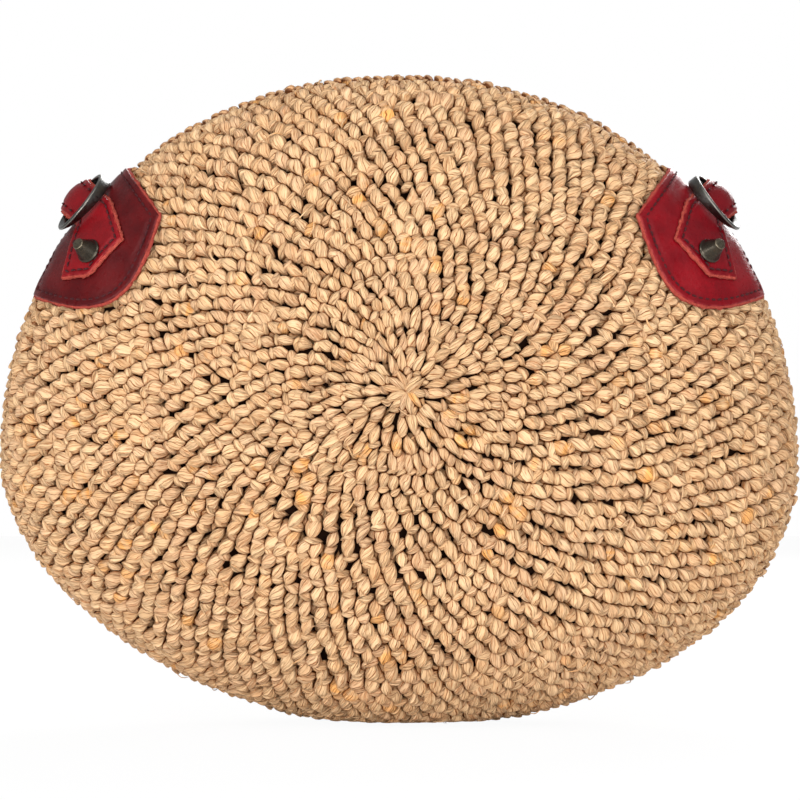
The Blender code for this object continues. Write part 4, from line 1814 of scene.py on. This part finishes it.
def even_steps(line: Array, pitch: float) -> tuple[Array, Array]:
    """Middles and directions of equal steps along a line.

    Args:
        line: The line's points.
        pitch: The wanted step.

    Returns:
        Two arrays.
    """
    total = run_along(line)
    count = max(2, round(total[-1] / pitch))
    at = (np.arange(count) + 0.5) / count * total[-1]
    ahead, behind = (at_length(at + step * pitch, total, line) for step in (0.2, -0.2))
    return at_length(at, total, line), unit(ahead - behind)


@dataclass
class LeatherPiece:
    """A leather piece folded over the rim, with thickness, dents and thread."""

    name: str
    place: TabPlace
    cut: Cut
    lift: Callable[[Array, Array], Array]
    thickness: float = 0.002
    inset: float = 0.0034
    thread_pitch: float = 0.0039
    thread_length: float = 0.0031
    thread_width: float = 0.00105
    columns: int = 46
    rows: int = 60
    edge_roll: float = 0.0006
    raw_width: float = 0.0011
    fray: float = 0.0003
    dent: float = 0.00045
    wave: float = 0.00022
    groove_width: float = 0.0009
    pit_width: float = 0.0007
    rubbed_width: float = 0.0016
    part_ends: tuple[float, ...] = (0.004, 0.010, 0.020)
    half_ends: tuple[float, ...] = (0.004, 0.009, 0.016)
    wall_down: tuple[float, ...] = (0.0, 0.16, 0.55, 0.92, 1.0)
    wall_push: tuple[float, ...] = (0.0, 0.55, 1.0, 0.9, 0.0)
    wall_cloth: float = 0.004
    thread_sunk: float = 0.0001

    def spread(self, count: int, ends: tuple[float, ...]) -> Array:
        """Shares from 0 to 1 that crowd towards both ends.

        Args:
            count: Even shares in the middle.
            ends: The shares near an end.

        Returns:
            The shares.
        """
        inner = np.linspace(ends[-1], 1 - ends[-1], count)
        head = np.array((0.0,) + ends[:-1])
        return np.concatenate([head, inner, 1 - head[::-1]])

    def threads(self) -> tuple[Array, Array, Array]:
        """The thread line, and the middles and directions of its stitches.

        Returns:
            Three arrays of places on the flat.
        """
        line = seam_line(self.cut.outline(), self.inset)
        spots, ways = even_steps(line, self.thread_pitch)
        return line, spots, ways

    def relief(self, along: Array, across: Array) -> tuple[Array, Array, Array]:
        """Height changes of the face, how near the edge it is, and how pressed.

        Args:
            along: Distances down the rim.
            across: Distances over the rim, above zero at the front.

        Returns:
            Three arrays.
        """
        flat = np.stack([along, np.abs(across)], -1)
        outline = self.cut.outline()
        away = distance_to(flat, outline)
        line, spots, ways = self.threads()
        groove = np.exp(-((distance_to(flat, line) / self.groove_width) ** 2))
        half = ways * self.thread_length / 2
        ends = np.concatenate([spots - half, spots + half])
        pits = np.zeros(along.shape)
        for end in ends:
            gap = np.hypot(flat[..., 0] - end[0], flat[..., 1] - end[1])
            pits = np.maximum(pits, np.exp(-((gap / self.pit_width) ** 2)))
        roll = np.clip(1 - away / self.edge_roll, 0, 1)
        drop = self.edge_roll * (1 - np.sqrt(np.maximum(0, 1 - roll**2)))
        waves = np.sin(along * 260 + across * 90) + np.sin(across * 310 - along * 120 + 1.3)
        height = self.wave * waves - drop - self.dent * groove - self.dent * 0.9 * pits
        near = smoothstep(1 - away / self.rubbed_width)
        return height, near, np.maximum(groove * 0.55, pits)

    def build(self, finish: Material) -> Piece:
        """Builds the leather: its face, its back and the cut edge between them.

        Args:
            finish: Its material.

        Returns:
            The new piece.
        """
        part = self.spread(self.columns, self.part_ends)
        half = self.spread(self.rows, self.half_ends)[self.rows // 2 + len(self.half_ends) :]
        half = np.interp(half, (half[0], 1.0), (0.0, 1.0))
        share = np.concatenate([-half[::-1], half[1:]])
        part_grid, share_grid = np.meshgrid(part, share)
        along, across = self.cut.flat(part_grid, share_grid)
        height, near, pressed = self.relief(along, across)
        spots, outs = self.place.surface(along, across)
        low = self.lift(along, across)
        face = spots + outs * (low + self.thickness + height)[..., None]
        back = spots + outs * low[..., None]
        rows, columns = along.shape
        cloth = np.stack([along, across, np.zeros_like(along)], -1)
        quads = grid_faces(rows, columns)
        wind = self.place.hand.value
        shape = Shape()
        none, whole = np.zeros_like(near), np.ones_like(near)
        layers = ((face, wind, (near, pressed, none)), (back, -wind, (none, none, whole)))
        for points, order, facts in layers:
            shape.add(points, quads[:, ::order], edge=np.stack(facts, -1), cloth=cloth)
        top, right = np.arange(columns), np.arange(1, rows) * columns + columns - 1
        base = (rows - 1) * columns + np.arange(columns - 2, -1, -1)
        loop = np.concatenate([top, right, base, np.arange(rows - 2, 0, -1) * columns])
        count = len(loop)
        rim_face, rim_back = face.reshape(-1, 3)[loop], back.reshape(-1, 3)[loop]
        rim_out = outs.reshape(-1, 3)[loop]
        forward = np.roll(rim_face, -1, axis=0) - np.roll(rim_face, 1, axis=0)
        sideways = unit(np.cross(forward, rim_out))
        facing = np.sum((rim_face - rim_face.mean(axis=0)) * sideways)
        sideways = sideways * math.copysign(1.0, facing)
        rough = np.random.default_rng(len(self.name)).normal(0, self.fray, (3, count, 1))
        down = np.array(self.wall_down)[:, None, None]
        push = np.array(self.wall_push)[:, None, None] * self.raw_width
        wall = rim_face[None] * (1 - down) + rim_back[None] * down + sideways[None] * push
        wall[1:4] += sideways[None] * rough
        wall_faces = grid_faces(len(wall), count, closed=True)
        edge = np.broadcast_to(np.array([1.0, 0.0, 1.0]), wall.shape)
        below = cloth.reshape(-1, 3)[loop][None] + np.array([0, 0, 1.0]) * down * self.wall_cloth
        shape.add(wall, wall_faces[:, ::-wind], edge=edge, cloth=below)
        piece = shape.build(self.name, finish)
        turn_outward(piece, WELD, 2 * rows * columns)
        return piece

    def sew(self, name: str, finish: Material, skip_near: float) -> Piece:
        """Builds the thread: one short twisted bead for each stitch.

        Args:
            name: The piece's name.
            finish: The thread's finish.
            skip_near: Stitches nearer to the rim's crest than this are left out.

        Returns:
            The thread's object.
        """
        _, spots, ways = self.threads()
        shape = Shape()
        bead = Bead(self.thread_length, self.thread_width)
        for sign in (1, -1):
            for number, (spot, way) in enumerate(zip(spots, ways)):
                if spot[1] < skip_near:
                    continue
                at = np.array([spot[0], spot[0] + way[0] * 0.001])
                over = np.array([spot[1], spot[1] + way[1] * 0.001]) * sign
                points, outs = self.place.surface(at, over)
                lift = self.lift(at[:1], over[:1])[0] + self.thickness - self.thread_sunk
                spot = points[0] + outs[0] * lift
                bead.add_to(shape, spot, points[1] - points[0], outs[0], number)
        return shape.build(name, finish)


@dataclass(frozen=True)
class Bead:
    """One short stitch of thread that dips into the leather at both ends."""

    length: float
    width: float
    stations: int = 8
    corners: int = 8

    def add_to(self, shape: Shape, centre: Array, way: Array, out: Array, seed: int) -> None:
        """Adds the stitch to a shape.

        Args:
            shape: The shape to add to.
            centre: The stitch's middle.
            way: The direction it runs in.
            out: The direction away from the leather.
            seed: A number of its own, for its finish.
        """
        way = unit(way - out * np.dot(way, out))
        side = np.cross(out, way)
        t = np.linspace(0, 1, self.stations)[:, None]
        s = np.linspace(0, FULL, self.corners, endpoint=False)[None, :]
        thick = self.width / 2 * np.sin(math.pi * (0.06 + 0.88 * t)) ** 0.45
        sink = 0.55 * self.width * (2 * t - 1) ** 4
        points = centre + way * ((t - 0.5) * self.length + 0 * s)[..., None]
        points = points + side * (thick * np.sin(s))[..., None]
        points = points + out * (thick * np.cos(s) - sink)[..., None]
        strand = np.stack([t + 0 * s, s / FULL + 0 * t, seed + 0 * t + 0 * s], -1)
        shape.add(points, grid_faces(self.stations, self.corners, closed=True), strand=strand)


@dataclass(frozen=True)
class RingPlan:
    """A flat-banded ring with a twist, lying forward on the strap it passes through."""

    diameter: float = 0.0330
    thickness: float = 0.0019
    wide: float = 0.0064
    narrow: float = 0.0046
    set_back: float = 0.0018
    twist: float = math.radians(62)
    lean: float = math.radians(103)
    steps: int = 112
    bevel_share: float = 0.72
    corner_steps: int = 4
    worn_edge: float = 0.86
    worn_flat: float = 0.52

    def section(self, swing: float) -> tuple[Array, Array]:
        """The band's section at one place.

        Args:
            swing: The place round the ring.

        Returns:
            Points as out along the ring and up along its axis, and how exposed each is.
        """
        low_end = math.sin(swing)
        half_wide = (self.wide + (self.narrow - self.wide) * (1 + low_end) / 2) / 2
        half_thin = self.thickness / 2
        twist = self.twist * (1 + low_end) / 2
        bevel = half_thin * self.bevel_share
        last = self.corner_steps - 1
        points, wear = [], []
        for corner, (sign_out, sign_up) in enumerate(((1, -1), (1, 1), (-1, 1), (-1, -1))):
            for step in range(self.corner_steps):
                turn = QUARTER * (corner - 1) + QUARTER * step / last
                thin = sign_out * (half_thin - bevel) + bevel * math.cos(turn)
                wide = sign_up * (half_wide - bevel) + bevel * math.sin(turn)
                out = thin * math.cos(twist) - wide * math.sin(twist)
                points.append((out, thin * math.sin(twist) + wide * math.cos(twist)))
                wear.append(self.worn_edge if 0 < step < last else self.worn_flat)
        return np.array(points), np.array(wear)

    def build(self, hand: Hand, place: TabPlace, finish: Material) -> Piece:
        """Builds the ring in its rest place.

        Args:
            hand: Left or right.
            place: The tab.
            finish: Its material.

        Returns:
            The new piece.
        """
        radius = (self.diameter - self.thickness) / 2
        rows, worn = [], []
        for step in range(self.steps):
            swing = FULL * step / self.steps
            section, wear = self.section(swing)
            reach = radius + section[:, 0]
            away = radius - self.set_back + reach * math.cos(swing)
            up = hand.value * section[:, 1]
            rows.append(np.stack([reach * math.sin(swing), away, up], -1))
            worn.append(wear)
        plan = place.plan
        along = (plan.strap_neck[0] + plan.strap_neck[1]) / 2
        hinge = place.placing(along, 0.0, plan.hinge_lift)
        downhill = hinge.to_3x3() @ Vector((1, 0, 0))
        if downhill.z > 0:
            downhill = -downhill
        outward = hinge.to_3x3() @ Vector((0, 0, 1))
        away = outward * math.cos(self.lean) + Vector((0, -1, 0)) * math.sin(self.lean)
        axis = downhill.cross(away)
        turned = np.array(Matrix((downhill, away, axis)).transposed())
        points = np.array(rows) @ turned.T + np.array(hinge.translation)
        wear = np.array(worn)[..., None] * np.array([1.0, 0.0, 0.0])
        shape = Shape()
        shape.add(points, grid_faces(*points.shape[:2], closed=True, looped=True), wear=wear)
        piece = shape.build(f"{hand.word}_twisted_ring", finish)
        turn_outward(piece)
        return piece


@dataclass(frozen=True)
class Turned:
    """A turned piece: a profile of radius, height and wear, spun about Z."""

    profile: tuple[tuple[float, float, float], ...]
    steps: int = 56

    def build(self, name: str, placing: Matrix, finish: Material) -> Piece:
        """Builds the piece in its place.

        Args:
            name: The piece's name.
            placing: Where its foot is.
            finish: Its material.

        Returns:
            The new piece.
        """
        swing = np.linspace(0, FULL, self.steps, endpoint=False)[None, :]
        radius, height, wear = (np.array(c)[:, None] for c in zip(*self.profile))
        local = np.stack([radius * np.cos(swing), radius * np.sin(swing), height + 0 * swing], -1)
        turned = np.array(placing.to_3x3())
        points = local @ turned.T + np.array(placing.translation)
        shape = Shape()
        wear = (wear + 0 * swing)[..., None] * np.array([1.0, 0.0, 0.0])
        shape.add(points, grid_faces(len(self.profile), self.steps, closed=True), wear=wear)
        piece = shape.build(name, finish)
        turn_outward(piece, WELD)
        return piece


CONE_STUD = Turned(
    (
        (0.0, 0.0095, 0.72),
        (0.0014, 0.0095, 0.72),
        (0.0025, 0.00948, 0.70),
        (0.00270, 0.00942, 0.85),
        (0.00283, 0.00925, 0.85),
        (0.00290, 0.0090, 0.6),
        (0.00300, 0.00854, 0.6),
        (0.0043, 0.0051, 0.5),
        (0.0055, 0.00196, 0.5),
        (0.0056, 0.0017, 0.5),
        (0.00585, 0.0011, 0.4),
        (0.00605, 0.00095, 0.5),
        (0.00625, 0.0007, 0.62),
        (0.00625, 0.0002, 0.5),
        (0.0061, 0.0, 0.5),
        (0.0, 0.0, 0.4),
    )
)


@dataclass(frozen=True)
class TabFinishes:
    """The finishes of one tab."""

    patch: LeatherFinish
    strap: LeatherFinish
    ring: MetalFinish
    stud: MetalFinish
    thread: ThreadFinish


@dataclass
class Tab:
    """One leather tab: patch, strap, thread, ring and studs."""

    hand: Hand
    finishes: TabFinishes
    thread_from: float = 0.004
    strap_inset: float = 0.0027
    strap_columns: int = 24
    strap_rows: int = 110
    strap_wave: float = 0.00012

    def __post_init__(self) -> None:
        """Finds the tab's place."""
        self.place = TabPlace(self.hand)

    def patch_lift(self, along: Array, across: Array) -> Array:
        """The patch lies on the crochet all over."""
        return np.full(np.shape(across), PLAN.leather_gap) + 0 * along

    def strap_lift(self, along: Array, across: Array) -> Array:
        """The strap lies on the patch and rises over the rim as a crowned loop.

        Args:
            along: Distances down the rim.
            across: Distances over the rim, above zero at the front.

        Returns:
            Heights over the skin.
        """
        share = np.minimum(1.0, np.abs(across) / PLAN.loop_reach)
        half = (PLAN.strap_neck[1] - PLAN.strap_neck[0]) / 2
        aside = np.clip((along - PLAN.strap_neck[0]) / half - 1, -1.0, 1.0)
        crown = PLAN.tunnel - PLAN.loop_crown * aside**2
        return PLAN.strap_seat + crown * np.cos(QUARTER * share) ** 2

    def build(self) -> None:
        """Builds the tab's pieces."""
        word = self.hand.word
        strap_cut = Cut(PLAN.strap_neck, strap_end, PLAN.strap_flare, PLAN.strap_neck_share)
        thread = self.finishes.thread.make()
        patch = LeatherPiece(f"{word}_patch_leather", self.place, patch_cut(), self.patch_lift)
        node, slot = f"tab_patch_{word}", f"patch_leather_{word}"
        seat(patch.build(self.finishes.patch.make()), node)
        seat(patch.sew(f"{word}_patch_thread", thread, self.thread_from), node)
        strap = LeatherPiece(
            f"{word}_strap_leather",
            self.place,
            strap_cut,
            self.strap_lift,
            inset=self.strap_inset,
            columns=self.strap_columns,
            rows=self.strap_rows,
            wave=self.strap_wave,
        )
        node, slot = f"loop_strap_{word}", f"strap_leather_{word}"
        seat(strap.build(self.finishes.strap.make()), node)
        seat(strap.sew(f"{word}_strap_thread", thread, 0.0), node)
        ring = RingPlan().build(self.hand, self.place, self.finishes.ring.make())
        seat(ring, f"ring_{word}", f"ring_{word}")
        metal = self.finishes.stud.make()
        for side in Side:
            label = f"{word}_{side.word}"
            across = -side.value * PLAN.stud_across
            placing = self.place.placing(PLAN.stud_along, across, PLAN.strap_top + PLAN.seat_gap)
            stud = CONE_STUD.build(f"{label}_cone", placing, metal)
            seat(stud, f"cone_stud_{label}")


def patch_cut() -> Cut:
    """The patch's outline.

    Returns:
        Its cut.
    """
    return Cut(
        PLAN.patch_neck,
        lambda t: bezier(PLAN.patch_upper_tip, PLAN.patch_pull, PLAN.patch_lower_tip, t),
        PLAN.patch_flare,
    )


def strap_end(share: Array) -> Array:
    """The strap's pointed end: two straight cuts that meet at its point.

    Args:
        share: Shares from the upper to the lower tip.

    Returns:
        The points.
    """
    t = np.asarray(share, float)[..., None]
    corners = (PLAN.strap_upper_tip, PLAN.strap_point, PLAN.strap_lower_tip)
    upper, point, lower = (np.array(corner) for corner in corners)
    first = upper + (point - upper) * t * 2
    second = point + (lower - point) * (t * 2 - 1)
    return np.where(t <= 0.5, first, second)


@dataclass(frozen=True)
class Lamp:
    """A square soft lamp: its place, the length of its sides and its power in watts."""

    name: str
    place: tuple[float, float, float]
    size: float
    power: float

    def hang(self, target: Vector) -> None:
        """Hangs the lamp so that it faces the target.

        Args:
            target: The middle of the bag.
        """
        light = bpy.data.lights.new(self.name, "AREA")
        light.shape = "SQUARE"
        light.size = self.size
        light.energy = self.power
        item = bpy.data.objects.new(self.name, light)
        item.location = self.place
        aim = target - Vector(self.place)
        item.rotation_euler = aim.to_track_quat("-Z", "Y").to_euler()
        bpy.context.scene.collection.objects.link(item)


LAMPS = (
    Lamp("key", (-1.0, -1.5, 1.6), 0.7, 11.0),
    Lamp("second_key", (0.95, -1.3, 1.6), 0.7, 8.0),
    Lamp("fill", (0.8, -2.0, 0.02), 1.2, 29.0),
    Lamp("low_strip", (0.04, -0.6, 0.01), 0.4, 1.6),
    Lamp("low_fill", (-1.1, -1.5, 0.02), 1.0, 31.0),
    Lamp("rear", (0.5, 1.8, 1.2), 1.2, 46.0),
)


@dataclass(frozen=True)
class Studio:
    """The floor, the lamps and the camera."""

    frame_width: float = 0.400
    middle_x: float = 0.0005
    middle_z: float = 0.161
    distance: float = 2.2
    floor_size: float = 6.0
    floor_tone: float = 0.86
    floor_whiteness: float = 0.95
    room_light: float = 0.54
    sensor: float = 36.0

    def floor(self) -> None:
        """Lays a pale floor that looks nearly white to the camera and keeps the shadow."""
        mesh = bpy.data.meshes.new("floor")
        half = self.floor_size / 2
        corners = [(-half, -half, 0), (half, -half, 0), (half, half, 0), (-half, half, 0)]
        mesh.from_pydata(corners, [], [(0, 1, 2, 3)])
        floor = bpy.data.objects.new("floor", mesh)
        bpy.context.scene.collection.objects.link(floor)
        pen = Nodes("floor_paper")
        pen.set(Base_Color=(self.floor_tone,) * 3, Roughness=0.9)
        seen = pen.node("ShaderNodeLightPath").outputs["Is Camera Ray"]
        white = pen.wired("ShaderNodeEmission", {"Strength": 1.0}).outputs[0]
        shown = pen.times(seen, self.floor_whiteness)
        mixed = pen.wired("ShaderNodeMixShader", {0: shown, 1: pen.shader.outputs[0], 2: white})
        pen.put(pen.tree.nodes["Material Output"].inputs["Surface"], mixed.outputs[0])
        mesh.materials.append(pen.material)

    def world(self) -> None:
        """A soft even room that looks white behind the bag."""
        world = bpy.data.worlds.new("room")
        bpy.context.scene.world = world
        world.use_nodes = True
        tree = world.node_tree
        back = tree.nodes["Background"]
        white = tree.nodes.new("ShaderNodeBackground")
        for shader, strength in ((back, self.room_light), (white, 1.0)):
            shader.inputs["Color"].default_value = (1.0, 1.0, 1.0, 1.0)
            shader.inputs["Strength"].default_value = strength
        path = tree.nodes.new("ShaderNodeLightPath")
        mixed = tree.nodes.new("ShaderNodeMixShader")
        tree.links.new(path.outputs["Is Camera Ray"], mixed.inputs[0])
        tree.links.new(back.outputs[0], mixed.inputs[1])
        tree.links.new(white.outputs[0], mixed.inputs[2])
        tree.links.new(mixed.outputs[0], tree.nodes["World Output"].inputs["Surface"])

    def camera(self) -> None:
        """Places the camera square to the front, at the photograph's width."""
        data = bpy.data.cameras.new("camera")
        data.sensor_width = self.sensor
        data.lens = self.sensor * self.distance / self.frame_width
        camera = bpy.data.objects.new("camera", data)
        camera.location = (self.middle_x, -self.distance, self.middle_z)
        camera.rotation_euler = (QUARTER, 0, 0)
        bpy.context.scene.collection.objects.link(camera)
        bpy.context.scene.camera = camera

    def build(self) -> None:
        """Sets up everything round the object."""
        self.camera()
        self.floor()
        self.world()
        for lamp in LAMPS:
            lamp.hang(Vector((0, 0, self.middle_z)))
        bpy.context.scene.view_settings.view_transform = "Standard"


@dataclass
class TabPress:
    """Says how far stitches are pressed in under the leather tabs."""

    reach: float = 0.0045
    depth: float = 0.0010
    columns: int = 40
    rows: int = 80
    tree: KDTree = field(init=False, repr=False)

    def __post_init__(self) -> None:
        """Lays a grid of points over both patches."""
        grids = np.linspace(0, 1, self.columns), np.linspace(-1, 1, self.rows)
        part, share = np.meshgrid(*grids)
        along, across = patch_cut().flat(part, share)
        spots = [TabPlace(hand).surface(along, across)[0].reshape(-1, 3) for hand in Hand]
        every = np.concatenate(spots)
        self.tree = KDTree(len(every))
        for number, spot in enumerate(every):
            self.tree.insert(spot, number)
        self.tree.balance()

    def __call__(self, points: Array) -> Array:
        """Depths for points of the crochet."""
        away = np.array([self.tree.find(point)[2] for point in points])
        return np.where(away < self.reach, self.depth, 0.0)


def dress(word: str, finish: MetalFinish | LeatherFinish) -> None:
    """Gives every shown CAD node whose name starts with the word a better finish.

    Args:
        word: How the names start.
        finish: The finish.
    """
    material = finish.make()
    for name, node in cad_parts.items():
        if name.startswith(word):
            for place in node.material_slots:
                place.material = material
            LOG.info("%s: dressed in %s", name, material.name)


SCREW_STEEL = MetalFinish("screw_steel", (0.30, 0.29, 0.27), (0.62, 0.60, 0.56), 0.34)
WASHER_HIDE = LeatherFinish(
    "washer_hide", (0.20, 0.075, 0.028), (0.11, 0.04, 0.015), (0.30, 0.14, 0.06), flat_fact=False
)
RING = MetalFinish("antique_ring", (0.082, 0.082, 0.077), (0.22, 0.205, 0.18))
STUD = MetalFinish("antique_stud", (0.058, 0.050, 0.039), (0.24, 0.20, 0.14), 0.24)
COTTON = ClothFinish("dark_cotton", (0.016, 0.004, 0.001), (0.032, 0.012, 0.005))
HEM_THREAD = ThreadFinish("black_thread", (0.03, 0.025, 0.02), (0.012, 0.01, 0.008))
TAB_THREAD = ThreadFinish("dark_thread", (0.100, 0.020, 0.024), (0.024, 0.005, 0.006))
RED_PATCH = LeatherFinish(
    "red_patch", (0.205, 0.0025, 0.0070), (0.105, 0.001, 0.004), (0.30, 0.03, 0.03)
)
RED_STRAP = LeatherFinish(
    "red_strap", (0.190, 0.0025, 0.0070), (0.095, 0.001, 0.004), (0.32, 0.04, 0.03)
)
MAROON_PATCH = LeatherFinish(
    "maroon_patch", (0.092, 0.0035, 0.0045), (0.040, 0.001, 0.002), (0.18, 0.02, 0.02)
)
MAROON_STRAP = LeatherFinish(
    "maroon_strap", (0.215, 0.0045, 0.0080), (0.100, 0.003, 0.005), (0.34, 0.04, 0.03)
)


def main() -> None:
    """Builds the stage and the bag's pieces in order."""
    logging.basicConfig(level=logging.INFO, format="%(message)s")
    Studio().build()
    raffia = {side: RaffiaFinish(f"raffia_{side.word}").make() for side in Side}
    loose = RaffiaFinish("loose_raffia", relief=0.12, crevice=0.0004).make()
    press = TabPress()
    rows = EdgeRows(Crochet(), seed=31)
    for number, side in enumerate(Side):
        pieces = Face(side, Crochet(), seed=11 + number).build(raffia[side], loose, press)
        LOG.info("%s face: %d pieces of raffia", side.word, len(pieces))
        rows.mouth(side, raffia[side])
    rows.seam(RaffiaFinish("raffia_row").make())
    Lining().sew_in(COTTON.make(), HEM_THREAD.make())
    dress("stud_screw", SCREW_STEEL)
    dress("backing_washer", WASHER_HIDE)
    Tab(Hand.RIGHT, TabFinishes(RED_PATCH, RED_STRAP, RING, STUD, TAB_THREAD)).build()
    Tab(Hand.LEFT, TabFinishes(MAROON_PATCH, MAROON_STRAP, RING, STUD, TAB_THREAD)).build()
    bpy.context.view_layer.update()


if __name__ == "__main__":
    main()
